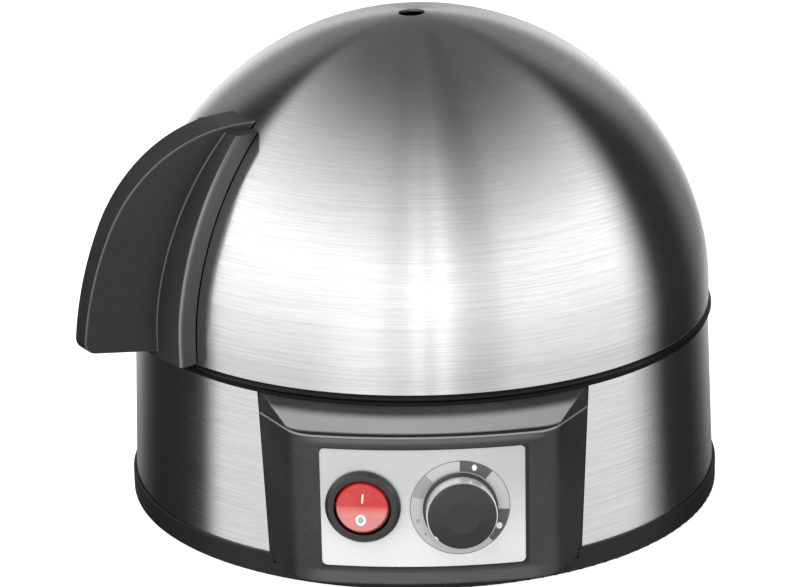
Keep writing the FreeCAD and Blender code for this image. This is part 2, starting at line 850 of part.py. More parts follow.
def control_shaft():
    """Regulator's steel shaft with a flat for the knob."""
    shaft = rod(shaft_radius - spin_gap / 3, -shaft_depth, shaft_end).cut(shaft_flat_block())
    return on_panel(shaft, knob_across, knob_up)


def wall_back():
    """Inside of the panel's curved wall at the edge of the regulator's case, out from the fascia's face."""
    return math.sqrt((panel_curve - panel_wall) ** 2 - (regulator_width / 2) ** 2) - fascia_face


def regulator_body():
    """Heat regulator: case behind the panel and a bushing through it."""
    case_top = wall_back() - nest_gap
    case = block(regulator_width, regulator_height, case_top - regulator_depth, case_top)
    bushing = rod(bushing_radius, case_top, nut_thickness + knob_gap - nest_gap)
    bore = rod(shaft_radius + spin_gap, -shaft_depth - nest_gap, nut_thickness + cut_overrun)
    return on_panel(fused([case, bushing]).cut(bore), knob_across, knob_up)


def regulator_nut():
    """Hexagon nut that clamps the regulator to the panel."""
    nut = hexagon(nut_across, nest_gap, nest_gap + nut_thickness)
    nut = nut.cut(drill(bushing_radius + spin_gap, nest_gap, nut_thickness))
    return on_panel(nut, knob_across, knob_up)


def regulator_terminals():
    """Two spade blades at the back of the regulator."""
    back = wall_back() - nest_gap - regulator_depth
    blade = block(blade_thickness, blade_width, back - blade_length, back)
    return [on_panel(moved(blade, k * blade_pitch, 0, 0), knob_across, knob_up) for k in (-1, 1)]


def heating_dish():
    """Spun steel dish for the water, with studs under its flange."""
    top = flange_bottom + dish_wall
    floor = dish_floor
    shell = spun(
        [
            (0, floor, 0),
            (dish_foot, floor, dish_fillet + dish_wall),
            (dish_mouth, flange_bottom, dish_wall),
            (flange_radius, flange_bottom, 0),
            (flange_radius, top, dish_wall / 3),
            (dish_mouth - dish_wall / 2, top, dish_wall),
            (dish_foot - dish_wall / 2, floor + dish_wall, dish_fillet),
            (0, floor + dish_wall, 0),
        ]
    )
    return fused([shell] + at_studs(rod(stud_radius, flange_bottom - stud_length, flange_bottom)))


def dish_seal():
    """Silicone ring between the dish's flange and the housing's ledge."""
    ring = tube(flange_radius - nest_gap, ledge_radius + nest_gap, ledge_top, flange_bottom)
    return ring.cut(at_studs(drill(stud_radius + nest_gap, ledge_top, flange_bottom)))


def dish_nuts():
    """Nuts that pull the dish's studs down on the ledge."""
    low = ledge_bottom - stud_nut_thickness
    nut = hexagon(stud_nut_across, low, ledge_bottom).cut(drill(stud_radius + spin_gap, low, ledge_bottom))
    return at_studs(nut)


def heat_spreader():
    """Aluminium plate under the dish's floor."""
    return spun(
        [
            (0, dish_floor - spreader_thickness, 0),
            (spreader_radius, dish_floor - spreader_thickness, spreader_thickness / 4),
            (spreader_radius, dish_floor, 0),
            (0, dish_floor, 0),
        ]
    )


def element_level():
    """Height of the heater's centre line."""
    return dish_floor - spreader_thickness - element_wire


def at_element_ends(shape):
    """Copies at the ring's two ends, open towards the back, from a shape over the end of a ring on +X."""
    end = moved(shape, element_radius, 0, 0)
    half = element_sweep / 2 - 90.0
    return [turned(end, half), turned(end.mirror(MIDDLE, V(0, 1, 0)), 180.0 - half)]


def heating_element():
    """Sheathed heater: an open ring brazed under the spreader, with two legs bent down."""
    level = element_level()
    section = Part.Face(Part.Wire(Part.makeCircle(element_wire, V(0, 0, level), V(0, 1, 0))))
    ring = moved(section, element_radius, 0, 0).revolve(MIDDLE, UP, element_sweep)
    ring = turned(ring, -90.0 - element_sweep / 2)
    bend = section.revolve(V(0, 0, level - element_bend), V(-1, 0, 0), 90.0)
    leg = rod(element_wire, level - element_bend - element_leg, level - element_bend, 0, element_bend)
    return fused([ring] + at_element_ends(bend) + at_element_ends(leg))


def heater_insulators():
    """Ceramic beads on the heater's ends."""
    top = element_level() - element_bend - element_leg
    bead = spun(
        [
            (heater_pin_radius + spin_gap, top - insulator_height, 0),
            (insulator_radius, top - insulator_height, insulator_height / 4),
            (insulator_radius, top, insulator_height / 4),
            (heater_pin_radius + spin_gap, top, 0),
        ]
    )
    return at_element_ends(moved(bead, 0, element_bend, 0))


def heater_pins():
    """Cold pins that stand out of the heater's ends."""
    top = element_level() - element_bend - element_leg
    return at_element_ends(rod(heater_pin_radius, top - heater_pin_length, top, 0, element_bend))


def cutout_top():
    """Face of the thermal cut-out against the spreader."""
    return dish_floor - spreader_thickness


def thermal_cutout():
    """Bimetal thermostat disc under the middle of the dish, with two blades."""
    low = cutout_top() - cutout_height
    case = spun(
        [
            (0, low, 0),
            (cutout_radius * cutout_stem_share, low, 0),
            (cutout_radius * cutout_stem_share, low + cutout_height / 2, 0),
            (cutout_radius, low + cutout_height / 2, 0),
            (cutout_radius, cutout_top(), cutout_height / 8),
            (0, cutout_top(), 0),
        ]
    )
    lift = low + cutout_height / 4
    blades = block(2 * cutout_radius + 2 * blade_length, blade_width, lift - blade_thickness, lift)
    return fused([case, blades])


def cutout_strap():
    """Spring strap that presses the cut-out against the spreader."""
    low = cutout_top() - cutout_height - strap_thickness
    strap = block(strap_width, strap_span, low, low + strap_thickness)
    return strap.cut(at_strap_screws(drill(strap_screw_radius + nest_gap, low, low + strap_thickness)))


def at_strap_screws(shape):
    """Copies at the strap's two screws."""
    place = strap_span / 2 - strap_screw_head - nest_gap
    return [moved(shape, 0, side * place, 0) for side in (-1, 1)]


def strap_spacers():
    """Pillars that stand off the spreader and carry the strap."""
    low = cutout_top() - cutout_height
    return at_strap_screws(tube(strap_spacer_radius, strap_screw_radius + spin_gap, low, cutout_top()))


def strap_screws():
    """Screws through the strap and its pillars."""
    low = cutout_top() - cutout_height - strap_thickness
    length = cutout_height + strap_thickness
    head_height = screw_head_height
    screw = pan_screw(strap_screw_radius, length, strap_screw_head, head_height, screw_slot, screw_slot_depth)
    return at_strap_screws(moved(screw, 0, 0, low))


def thermal_fuse():
    """One-shot fuse in its sleeve, clipped beside the cut-out."""
    level = cutout_top() - fuse_radius
    return Part.makeCylinder(fuse_radius, fuse_length, V(-fuse_offset, -fuse_length / 2, level), V(0, 1, 0))


def fuse_clip():
    """Spring clip spot-welded under the spreader, round the fuse."""
    level = cutout_top() - fuse_radius
    inside = fuse_radius + spin_gap
    outside = inside + clip_sheet
    round_bar = lambda radius, length: Part.makeCylinder(radius, length, V(0, -length / 2, level), V(0, 1, 0))
    saddle = [round_bar(outside, clip_width), block(2 * outside, clip_width, level, cutout_top())]
    flanges = block(2 * (outside + clip_flange), clip_width, cutout_top() - clip_sheet, cutout_top())
    slot = block(2 * inside, fuse_length, level, cutout_top() + cut_overrun)
    opening = [round_bar(inside, fuse_length), slot]
    return moved(fused(saddle + [flanges]).cut(opening), -fuse_offset, 0, 0)


def floor_screw_places():
    """Places of the screws that hold the terminal block, the buzzer and the cord clamp."""
    beside_block = (block_length + floor_ear) / 2
    beside_buzzer = buzzer_radius + floor_ear / 2
    beside_cord = (clamp_length - floor_ear) / 2
    places = []
    for side in (-1, 1):
        places.append((side * beside_block, block_back))
        places.append((buzzer_across, buzzer_back + side * beside_buzzer))
        places.append((side * beside_cord, clamp_back))
    return places


def at_floor_screws(shape):
    """Copies at the screws on the tray's floor."""
    return [moved(shape, x, y, 0) for x, y in floor_screw_places()]


def with_ears(body, width, depth, x, y):
    """Adds an ear plate under a body on the floor and drills it for the screws."""
    top = floor_top + floor_ear_thickness
    plate = block(width, depth, floor_top, top, x, y)
    return fused([body, plate]).cut(at_floor_screws(drill(floor_screw_radius + nest_gap, floor_top, top)))


def floor_screws():
    """Screws that hold what stands on the tray's floor."""
    length = floor_ear_thickness + floor_screw_bite
    head_height = screw_head_height
    screw = pan_screw(floor_screw_radius, length, floor_screw_head, head_height, screw_slot, screw_slot_depth)
    screw.rotate(MIDDLE, V(1, 0, 0), 180)
    return at_floor_screws(moved(screw, 0, 0, floor_top + floor_ear_thickness))


def cord_clamp():
    """Saddle that would clamp the mains lead to the tray's floor."""
    bore = gland_bore
    start = V(0, clamp_back - clamp_depth / 2, floor_top)
    bar = lambda radius: Part.makeCylinder(radius, clamp_depth, start, V(0, 1, 0))
    saddle = with_ears(bar(bore + clamp_wall), clamp_length, clamp_depth, 0, clamp_back)
    below = block(clamp_length, 2 * clamp_depth, floor_top - clamp_length, floor_top, 0, clamp_back)
    return saddle.cut([bar(bore), below])


def terminal_block():
    """Mains terminal block on the tray's floor."""
    top = floor_top + block_height
    body = block(block_length, block_depth, floor_top, top, 0, block_back)
    body = with_ears(body, block_length + 2 * floor_ear, floor_ear, 0, block_back)
    well = rod(block_screw_radius + nest_gap, top - block_screw_height - nest_gap, top + cut_overrun)
    return body.cut(at_terminals(well))


def at_terminals(shape):
    """Copies at the terminal block's three screws."""
    return [moved(shape, k * block_length / 3, block_back, 0) for k in (-1, 0, 1)]


def terminal_screws():
    """Clamp screws of the terminal block."""
    low = floor_top + block_height - block_screw_height - nest_gap
    high = low + block_screw_height
    slot = block(2 * block_screw_radius, screw_slot / 2, low + block_screw_height / 2, high + cut_overrun)
    return at_terminals(rod(block_screw_radius, low, high).cut(slot))


def buzzer():
    """Signal buzzer on the tray's floor."""
    case = spun(
        [
            (0, floor_top, 0),
            (buzzer_radius, floor_top, 0),
            (buzzer_radius, floor_top + buzzer_height, buzzer_height / 9),
            (0, floor_top + buzzer_height, 0),
        ]
    )
    case = case.cut(rod(buzzer_hole, floor_top + buzzer_height / 2, floor_top + buzzer_height + cut_overrun))
    case = moved(case, buzzer_across, buzzer_back, 0)
    return with_ears(case, floor_ear, 2 * (buzzer_radius + floor_ear), buzzer_across, buzzer_back)


def along_back(shape):
    """Moves a shape from its own frame, +Z out of the rear wall, to the cord gland's axis."""
    copy = shape.copy()
    copy.rotate(MIDDLE, V(1, 0, 0), -90)
    return moved(copy, 0, 0, gland_up)


def cord_gland():
    """Flanged bush that the mains lead would pass through, in the rear wall."""
    outer = band_radius(gland_up - gland_flange) + nest_gap
    inner = housing_radius(gland_up) - housing_wall - gland_nut_thickness - nest_gap
    bush = gland_bore + gland_wall
    body = spun(
        [
            (gland_bore, inner, 0),
            (bush, inner, 0),
            (bush, outer, 0),
            (gland_flange, outer, 0),
            (gland_flange, outer + gland_flange_thickness, gland_flange_thickness / 3),
            (gland_bore, outer + gland_flange_thickness, 0),
        ]
    )
    return along_back(body)


def gland_nut():
    """Ring nut inside the rear wall."""
    inner = housing_radius(gland_up + gland_nut_radius) - housing_wall
    seat = math.sqrt(inner**2 - gland_nut_radius**2)
    low = seat - gland_nut_thickness
    return along_back(tube(gland_nut_radius, gland_bore + gland_wall + spin_gap, low, seat))


def dome_centres():
    """Centres of the shoulder and crown arcs and the crown's radius, from the two arcs' tangency."""
    wall_top = lid_bottom + lid_straight
    lean = lid_radius - lid_shoulder
    drop = wall_top - lid_top
    crown = (lid_shoulder**2 - lean**2 - drop**2) / (2 * (drop + lid_shoulder))
    return (lean, wall_top), (0.0, lid_top - crown), crown


def dome_join():
    """Direction, from the crown's centre, of the point where the shoulder and crown arcs meet."""
    shoulder, top, crown = dome_centres()
    out = V(shoulder[0] - top[0], 0, shoulder[1] - top[1])
    if crown < lid_shoulder:
        out = out * -1
    return out.normalize()


def crown_point(offset, angle):
    """Point at an angle above level on the crown arc, moved out by an offset."""
    top, crown = dome_centres()[1:]
    reach = crown + offset
    return V(reach * math.cos(angle), 0, top[1] + reach * math.sin(angle))


def dome_edges(offset, low, end_angle):
    """Line, shoulder arc and crown arc of the dome's outside moved out by an offset, from low to an angle."""
    shoulder = dome_centres()[0]
    wall = lid_radius + offset
    join = dome_join()
    join_angle = math.atan2(join.z, join.x)
    reach = lid_shoulder + offset
    foot = V(wall, 0, low)
    wall_top = V(wall, 0, shoulder[1])
    half = join_angle / 2
    shoulder_mid = V(shoulder[0] + reach * math.cos(half), 0, shoulder[1] + reach * math.sin(half))
    joint = crown_point(offset, join_angle)
    crown_mid = crown_point(offset, (join_angle + end_angle) / 2)
    crown_end = crown_point(offset, end_angle)
    return [
        Part.LineSegment(foot, wall_top).toShape(),
        Part.Arc(wall_top, shoulder_mid, joint).toShape(),
        Part.Arc(joint, crown_mid, crown_end).toShape(),
    ]


def ends_of(edges):
    """First and last point of a run of dome edges."""
    return edges[0].Vertexes[0].Point, edges[-1].Vertexes[-1].Point


def line(start, stop):
    """Straight edge."""
    return Part.LineSegment(start, stop).toShape()


def dome_solid(offset, low):
    """The whole space under the dome's outside moved out by an offset."""
    edges = dome_edges(offset, low, math.pi / 2)
    foot, apex = ends_of(edges)
    base = V(0, 0, low)
    wire = Part.Wire(edges + [line(apex, base), line(base, foot)])
    return Part.Face(wire).revolve(MIDDLE, UP, 360)


def lid_dome():
    """Spun steel dome with a rolled bead, a steam hole and two holes for the handle's screws."""
    outer = dome_edges(0, bead_top, math.pi / 2)
    inner = dome_edges(-lid_wall, lid_bottom, math.pi / 2)
    outer_foot, apex = ends_of(outer)
    inner_foot, inner_apex = ends_of(inner)
    bead_centre = lid_radius + bead_reach
    bead_low = V(bead_centre, 0, lid_bottom)
    bead_out = V(bead_centre + bead_radius, 0, lid_bottom + bead_radius)
    bead_high = V(bead_centre, 0, bead_top)
    bead = Part.Arc(bead_low, bead_out, bead_high).toShape()
    edges = [line(inner_foot, bead_low), bead, line(bead_high, outer_foot)] + outer
    edges += [line(apex, inner_apex)] + inner
    shell = Part.Face(Part.Wire(Part.__sortEdges__(edges))).revolve(MIDDLE, UP, 360)
    vent = rod(vent_radius, lid_top - lid_height / 4, lid_top + cut_overrun, -vent_sideways, -vent_forward)
    low = -lid_wall - cut_overrun
    hole_radius = handle_screw_radius + nest_gap
    holes = [handle_rod(turn, hole_radius, low, cut_overrun) for turn in handle_screw_turns]
    return shell.cut([vent] + [handle_turned(hole) for hole in holes])


def handle_turned(shape):
    """Turns a shape built over +X to the handle's place on the lid."""
    return turned(shape, 180.0 + handle_turn)


def handle_angle(turn):
    """Angle above level, at the crown's centre, of a point some degrees up the crown's arc."""
    join = dome_join()
    return math.atan2(join.z, join.x) + math.radians(turn)


def handle_rod(turn, radius, start, stop):
    """Cylinder square to the dome, some degrees up the crown's arc, between two offsets from its outside."""
    angle = handle_angle(turn)
    first = crown_point(start, angle)
    return Part.makeCylinder(radius, stop - start, first, V(math.cos(angle), 0, math.sin(angle)))


def handle_rib_plate(turn):
    """Plate along a boss, as wide as the grip at its widest, from inside the dome to the boss's end."""
    reach = lid_wall + lift_gap + handle_boss_length
    plate = Part.makeBox(reach, lid_radius, handle_rib, V(-lid_wall, -lid_radius / 2, -handle_rib / 2))
    angle = handle_angle(turn)
    plate.rotate(MIDDLE, V(0, -1, 0), math.degrees(angle))
    place = crown_point(0, angle)
    return moved(plate, place.x, 0, place.z)


def grip_wire(inset):
    """Side outline of the grip: two spine arcs, a sloping underside and a side that runs into the dome."""
    top = lid_top - handle_drop - inset
    low_curve = handle_low_curve - inset
    top_curve = handle_top_curve - inset
    low_centre = V(lid_radius + handle_reach - handle_low_curve, 0, lid_bottom)
    rise = lid_top - handle_drop - handle_top_curve - lid_bottom
    between = handle_low_curve - handle_top_curve
    top_centre = low_centre + V(math.sqrt(between**2 - rise**2), 0, rise)
    toward = (top_centre - low_centre).normalize()
    join_angle = math.atan2(toward.z, toward.x)
    tip = bead_top + foot_lift + grip_lift + inset
    low_angle = math.asin((tip - low_centre.z) / low_curve)

    def at(centre, radius, angle):
        return centre + V(radius * math.cos(angle), 0, radius * math.sin(angle))

    crest = at(top_centre, top_curve, math.pi / 2)
    join = at(low_centre, low_curve, join_angle)
    foot = at(low_centre, low_curve, low_angle)
    inside = lid_radius / 2
    low = foot.z - (foot.x - inside) * math.tan(math.radians(grip_slope))
    edges = [
        line(V(inside, 0, top), crest),
        Part.Arc(crest, at(top_centre, top_curve, (join_angle + math.pi / 2) / 2), join).toShape(),
        Part.Arc(join, at(low_centre, low_curve, (join_angle + low_angle) / 2), foot).toShape(),
        line(foot, V(inside, 0, low)),
        line(V(inside, 0, low), V(inside, 0, top)),
    ]
    return Part.Wire(edges)


def grip_solid(inset):
    """The grip's outline between its two drafted sides, all moved in by an inset."""
    tip = lid_radius + handle_reach
    inside = lid_radius / 4
    half_tip = grip_tip_thickness / 2 - inset
    half_root = half_tip + (tip - inside) * math.tan(math.radians(grip_draft))
    wedge = [V(inside, -half_root, 0), V(tip, -half_tip, 0), V(tip, half_tip, 0), V(inside, half_root, 0)]
    sides = Part.Face(Part.makePolygon(wedge + wedge[:1])).extrude(UP * lid_top)
    slab = Part.Face(grip_wire(inset)).extrude(V(0, 2 * half_root, 0))
    return sides.common(moved(slab, 0, -half_root, 0))


def grip_outer():
    """Solid grip with its lower outer corner and its long edges rounded."""
    grip = grip_solid(0)
    reach = lid_radius + handle_reach / 2
    low = bead_top + foot_lift + grip_lift
    corner = []
    for edge in grip.Edges:
        middle = edge.CenterOfMass
        across = edge.BoundBox.YLength > grip_tip_thickness / 2 and edge.BoundBox.XLength < grip_edge
        if across and middle.x > reach and middle.z < low + grip_corner:
            corner.append(edge)
    grip = grip.makeFillet(grip_corner, corner)
    long_edges = []
    for face in grip.Faces:
        if abs(face.normalAt(0, 0).y) > math.cos(math.radians(2 * grip_draft)):
            long_edges += [edge for edge in face.Edges if edge.BoundBox.XMax > lid_radius / 2 + grip_edge]
    return grip.makeFillet(grip_edge, long_edges)


def handle_foot():
    """Part of the handle that lies on the dome: a sector of shell cut off level at the top."""
    low = bead_top + foot_lift
    end = math.radians(handle_foot_sweep)
    inner = dome_edges(lift_gap, low, end)
    outer = dome_edges(handle_skin, low, end)
    inner_low, inner_high = ends_of(inner)
    outer_low, outer_high = ends_of(outer)
    edges = inner + outer + [line(inner_low, outer_low), line(inner_high, outer_high)]
    face = Part.Face(Part.Wire(Part.__sortEdges__(edges)))
    sector = turned(face.revolve(MIDDLE, UP, handle_spread), -handle_spread / 2)
    top = lid_top - handle_drop - handle_foot_step
    sector = sector.cut(block(4 * lid_radius, 4 * lid_radius, top, top + lid_height))
    half_skin = dome_solid(handle_skin / 2, low)
    outer_edges = []
    for edge in sector.Edges:
        middle = edge.CenterOfMass
        turn = math.degrees(math.atan2(abs(middle.y), middle.x))
        at_side = turn > handle_spread / 4
        outwards = edge.distToShape(half_skin)[0] > handle_skin / 4
        if at_side and outwards and edge.BoundBox.ZLength > grip_edge:
            outer_edges.append(edge)
    return sector.makeFillet(handle_foot_edge, outer_edges)


def root_edges(body):
    """Edges where the grip's drafted sides meet the foot's outer faces."""
    skin = dome_solid(handle_skin, tray_bottom)
    half_skin = dome_solid(handle_skin / 2, tray_bottom)
    chosen = []
    for edge in body.Edges:
        middle = edge.CenterOfMass
        turn = math.degrees(math.atan2(abs(middle.y), middle.x))
        touching = edge.distToShape(skin)[0] < grip_edge / 2
        outwards = edge.distToShape(half_skin)[0] > handle_skin / 4
        if touching and outwards and turn < handle_spread / 4 and edge.BoundBox.ZLength > grip_corner:
            chosen.append(edge)
    return chosen


def lid_handle():
    """Moulded handle: foot on the dome, upright grip hollow towards the dome, and two screw bosses."""
    dome = dome_solid(lift_gap, tray_bottom)
    grip = grip_outer()
    body = fused([handle_foot(), grip.cut(dome)])
    body = body.makeFillet(handle_root, root_edges(body))
    pocket = grip_solid(grip_wall)
    bosses = []
    pilots = []
    for turn in handle_screw_turns:
        boss = handle_rod(turn, handle_boss_radius, lift_gap, lift_gap + handle_boss_length)
        bosses.append(boss.cut(dome))
        bosses.append(handle_rib_plate(turn).common(grip).cut(dome))
        pilots.append(handle_rod(turn, handle_screw_radius + spin_gap, -lid_wall, handle_screw_length))
    body = fused([body.cut(pocket)] + bosses).cut(pilots)
    return handle_turned(body)


def handle_seat():
    """Offset, inwards from the dome's outside, of the washers' outer faces."""
    crown = dome_centres()[2]
    inside = crown - lid_wall
    return math.sqrt(inside**2 - handle_washer_radius**2) - crown - nest_gap / 3


def handle_screws():
    """Screws from inside the lid into the handle's bosses."""
    screws = []
    under = handle_seat() - handle_washer_thickness - nest_gap / 3
    for turn in handle_screw_turns:
        shank = handle_rod(turn, handle_screw_radius, under, handle_screw_length - nest_gap)
        head = handle_rod(turn, handle_screw_head, under - handle_screw_head_height, under)
        screws.append(handle_turned(fused([shank, head])))
    return screws


def handle_washers():
    """Washers under the handle screws' heads."""
    seat = handle_seat()
    washers = []
    for turn in handle_screw_turns:
        disc = handle_rod(turn, handle_washer_radius, seat - handle_washer_thickness, seat)
        hole = handle_rod(turn, handle_screw_radius + spin_gap, seat - cut_overrun, seat + cut_overrun)
        washers.append(handle_turned(disc.cut(hole)))
    return washers


def egg_places():
    """Centres of the egg holes: one in the middle and a ring about it."""
    ring = [math.radians(k * 360.0 / egg_ring_count) for k in range(egg_ring_count)]
    return [(0.0, 0.0)] + [(egg_pitch * math.cos(a), egg_pitch * math.sin(a)) for a in ring]


def egg_tray_levels():
    """Underside of the skirt, and underside and top of the plate."""
    low = flange_top + lift_gap
    plate_top = low + egg_tray_skirt
    return low, plate_top - egg_tray_sheet, plate_top


def egg_tray():
    """Pressed steel tray with a skirt, seven lipped egg holes and steam holes."""
    low, plate_low, plate_top = egg_tray_levels()
    bend = egg_tray_sheet
    plate = spun(
        [
            (0, plate_low, 0),
            (egg_tray_radius - egg_tray_sheet, plate_low, bend / 2),
            (egg_tray_radius - egg_tray_sheet, low, 0),
            (egg_tray_radius, low, 0),
            (egg_tray_radius, plate_top, bend),
            (0, plate_top, 0),
        ]
    )
    lip = spun(
        [
            (egg_hole_radius, plate_top, 0),
            (egg_hole_radius + egg_tray_sheet, plate_top, 0),
            (egg_hole_radius + egg_tray_sheet, plate_low, 0),
            (egg_hole_radius + egg_tray_sheet - egg_lip_draw, plate_low - egg_lip_depth, 0),
            (egg_hole_radius - egg_lip_draw, plate_low - egg_lip_depth, 0),
            (egg_hole_radius, plate_low, 0),
        ]
    )
    hole = drill(egg_hole_radius, plate_low, plate_top)
    plate = plate.cut([moved(hole, x, y, 0) for x, y in egg_places()])
    tray = fused([plate] + [moved(lip, x, y, 0) for x, y in egg_places()])
    steam = drill(steam_hole_radius, plate_low, plate_top, steam_hole_pitch)
    cuts = around(steam, egg_ring_count, 180.0 / egg_ring_count)
    return tray.cut(cuts + at_rivets(drill(rivet_radius + spin_gap, plate_low, plate_top)))


def at_tabs(shape):
    """Copies at the tray's two finger tabs, between egg holes, from a shape over the middle."""
    return around(moved(shape, egg_tray_radius - grip_tab_inset, 0, 0), 2, 180.0 / egg_ring_count)


def at_rivets(shape):
    """Copies at both ends of both tabs' feet."""
    ends = [moved(shape, 0, end * rivet_spacing / 2, 0) for end in (-1, 1)]
    return [copy for end in ends for copy in at_tabs(end)]


def tray_grips():
    """Two moulded finger tabs that lift the tray."""
    plate_top = egg_tray_levels()[2]
    half = grip_tab_width / 2
    top = plate_top + grip_tab_height
    wire = rounded_wire(
        [
            (-half, plate_top, 0),
            (half, plate_top, 0),
            (half * grip_tab_top_share, top, half / 3),
            (-half * grip_tab_top_share, top, half / 3),
        ]
    )
    tab = Part.Face(wire).extrude(V(0, grip_tab_thickness, 0))
    tab = moved(tab, 0, -grip_tab_thickness / 2, 0)
    foot = block(grip_tab_width, grip_tab_foot, plate_top, plate_top + grip_tab_foot_thickness)
    holes = at_rivets(drill(rivet_radius + spin_gap, plate_top, plate_top + grip_tab_foot_thickness))
    return [grip.cut(holes) for grip in at_tabs(turned(fused([tab, foot]), 90))]


def grip_rivets():
    """Rivets through the tray and the tabs' feet, headed under the plate."""
    plate_low, plate_top = egg_tray_levels()[1:]
    shank = rod(rivet_radius, plate_low - rivet_head_height, plate_top + grip_tab_foot_thickness)
    head = rod(rivet_head_radius, plate_low - rivet_head_height, plate_low)
    return at_rivets(fused([shank, head]))


PARTS = {
    "base_tray": base_tray,
    "rubber_feet": rubber_feet,
    "tray_screws": tray_screws,
    "steel_band": steel_band,
    "base_housing": base_housing,
    "rim_collar": rim_collar,
    "panel_housing": panel_housing,
    "panel_screws": panel_screws,
    "fascia_plate": fascia_plate,
    "switch_body": switch_body,
    "switch_rocker": switch_rocker,
    "switch_terminals": switch_terminals,
    "knob_core": knob_core,
    "knob_ring": knob_ring,
    "control_shaft": control_shaft,
    "regulator_body": regulator_body,
    "regulator_nut": regulator_nut,
    "regulator_terminals": regulator_terminals,
    "heating_dish": heating_dish,
    "dish_seal": dish_seal,
    "dish_nuts": dish_nuts,
    "heat_spreader": heat_spreader,
    "heating_element": heating_element,
    "heater_insulators": heater_insulators,
    "heater_pins": heater_pins,
    "thermal_cutout": thermal_cutout,
    "cutout_strap": cutout_strap,
    "strap_spacers": strap_spacers,
    "strap_screws": strap_screws,
    "thermal_fuse": thermal_fuse,
    "fuse_clip": fuse_clip,
    "terminal_block": terminal_block,
    "terminal_screws": terminal_screws,
    "buzzer": buzzer,
    "cord_clamp": cord_clamp,
    "floor_screws": floor_screws,
    "cord_gland": cord_gland,
    "gland_nut": gland_nut,
    "lid_dome": lid_dome,
    "lid_handle": lid_handle,
    "handle_screws": handle_screws,
    "handle_washers": handle_washers,
    "egg_tray": egg_tray,
    "tray_grips": tray_grips,
    "grip_rivets": grip_rivets,
}


def main():
    """Builds every sub-part and writes it to parts/."""
    os.makedirs("parts", exist_ok=True)
    for name, make in PARTS.items():
        made = make()
        shape = Part.makeCompound(made) if isinstance(made, list) else made
        shape.exportStep("parts/" + name + ".step")
        print(name, len(shape.Solids), round(shape.Volume, 1), shape.isValid())


main()
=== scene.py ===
import json
import math

import bmesh
import bpy
from mathutils import Matrix, Vector


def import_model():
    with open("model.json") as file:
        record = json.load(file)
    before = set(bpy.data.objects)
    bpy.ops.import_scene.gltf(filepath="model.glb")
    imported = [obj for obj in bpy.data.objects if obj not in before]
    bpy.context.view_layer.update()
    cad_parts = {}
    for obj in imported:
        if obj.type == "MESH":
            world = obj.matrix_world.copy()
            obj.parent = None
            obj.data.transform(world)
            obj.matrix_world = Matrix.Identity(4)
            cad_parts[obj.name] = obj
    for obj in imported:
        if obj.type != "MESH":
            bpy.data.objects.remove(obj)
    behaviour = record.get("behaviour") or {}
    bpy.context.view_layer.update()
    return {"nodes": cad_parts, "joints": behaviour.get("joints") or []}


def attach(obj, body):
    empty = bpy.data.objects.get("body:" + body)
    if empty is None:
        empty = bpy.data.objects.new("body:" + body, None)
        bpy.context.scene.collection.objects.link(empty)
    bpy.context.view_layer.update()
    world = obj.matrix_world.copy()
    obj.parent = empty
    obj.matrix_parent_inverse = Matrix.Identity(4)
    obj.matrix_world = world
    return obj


# Electric egg boiler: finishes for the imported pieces, the printed marks on its panel, and a pale studio.
# Metres, +Z up, the control panel faces -Y.

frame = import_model()
nodes = frame["nodes"]
joints = {joint["name"]: joint for joint in frame["joints"]}

MM = 0.001
UP = Vector((0, 0, 1))

# Camera, fitted to the outlines of the base, the seam and the dome
CAMERA_PLACE = Vector((0, -951.9 * MM, 388.4 * MM))
CAMERA_YAW = math.radians(-0.57)
CAMERA_PITCH = math.radians(18.69)
CAMERA_ROLL = math.radians(-1.22)
CAMERA_LENS = 136.9
CAMERA_SENSOR = 36.0

# Direction from the object to the photograph's place, about which the studio is laid out
TOWARD_CAMERA = Vector((0, -0.954, 0.299))

# Control panel: radius of the fascia's curved face, and the printed dial round the knob
FASCIA_RADIUS = 159.7 * MM
PRINT_LIFT = 0.03 * MM
PRINT_THICKNESS = 0.05 * MM
DIAL_OUTER = 15.5 * MM
DIAL_INNER = 11.9 * MM
DIAL_LINE = 0.22 * MM
SECTOR_STEP = 3.0  # degrees between the points of a printed arc

# Rocker: how far its face stands over its pivot, and the angle between its two halves
ROCKER_RISE = 3.6 * MM
ROCKER_THROW = math.radians(18.0)

# Marks on the rocker, from its middle: size and place of the bar, and of the ring
BAR_WIDTH = 0.5 * MM
BAR_LENGTH = 3.0 * MM
BAR_PLACE = Vector((0.2, 3.4, 0)) * MM
BAR_LEAN = math.radians(-5.0)
RING_INNER = 0.95 * MM
RING_OUTER = 1.55 * MM
RING_PLACE = Vector((-0.3, -3.2, 0)) * MM

# Handle: level direction across it, and how far its foot's sides lie from its middle, in millimetres
HANDLE_TURN = math.radians(31.8)
HANDLE_ACROSS = Vector((math.sin(HANDLE_TURN), -math.cos(HANDLE_TURN), 0))
FOOT_ASIDE = 13.0

# Arc, in millimetres, along which the dome's brushing is measured: height of its centre, and radius
DOME_CENTRE = 78.0
DOME_ARC = 90.0

# Heights in millimetres: top of the lid's bead, crease under the panel's brow, and ends of the recess
# round the fascia; then the recess's half width
BEAD_TOP = 65.8
CREASE = 56.1
RECESS_LOW = 12.45
RECESS_HIGH = 52.15
RECESS_SIDE = 32.05

# Studio: radius of its floor, what its lamp looks at, and azimuths in degrees between which each side of the
# front light fades out
FLOOR_RADIUS = 6.0
LAMP_AIM = Vector((0, 0, 60.0 * MM))
LIGHT_LEFT = (-48.0, -42.5)
LIGHT_RIGHT = (43.0, 55.0)


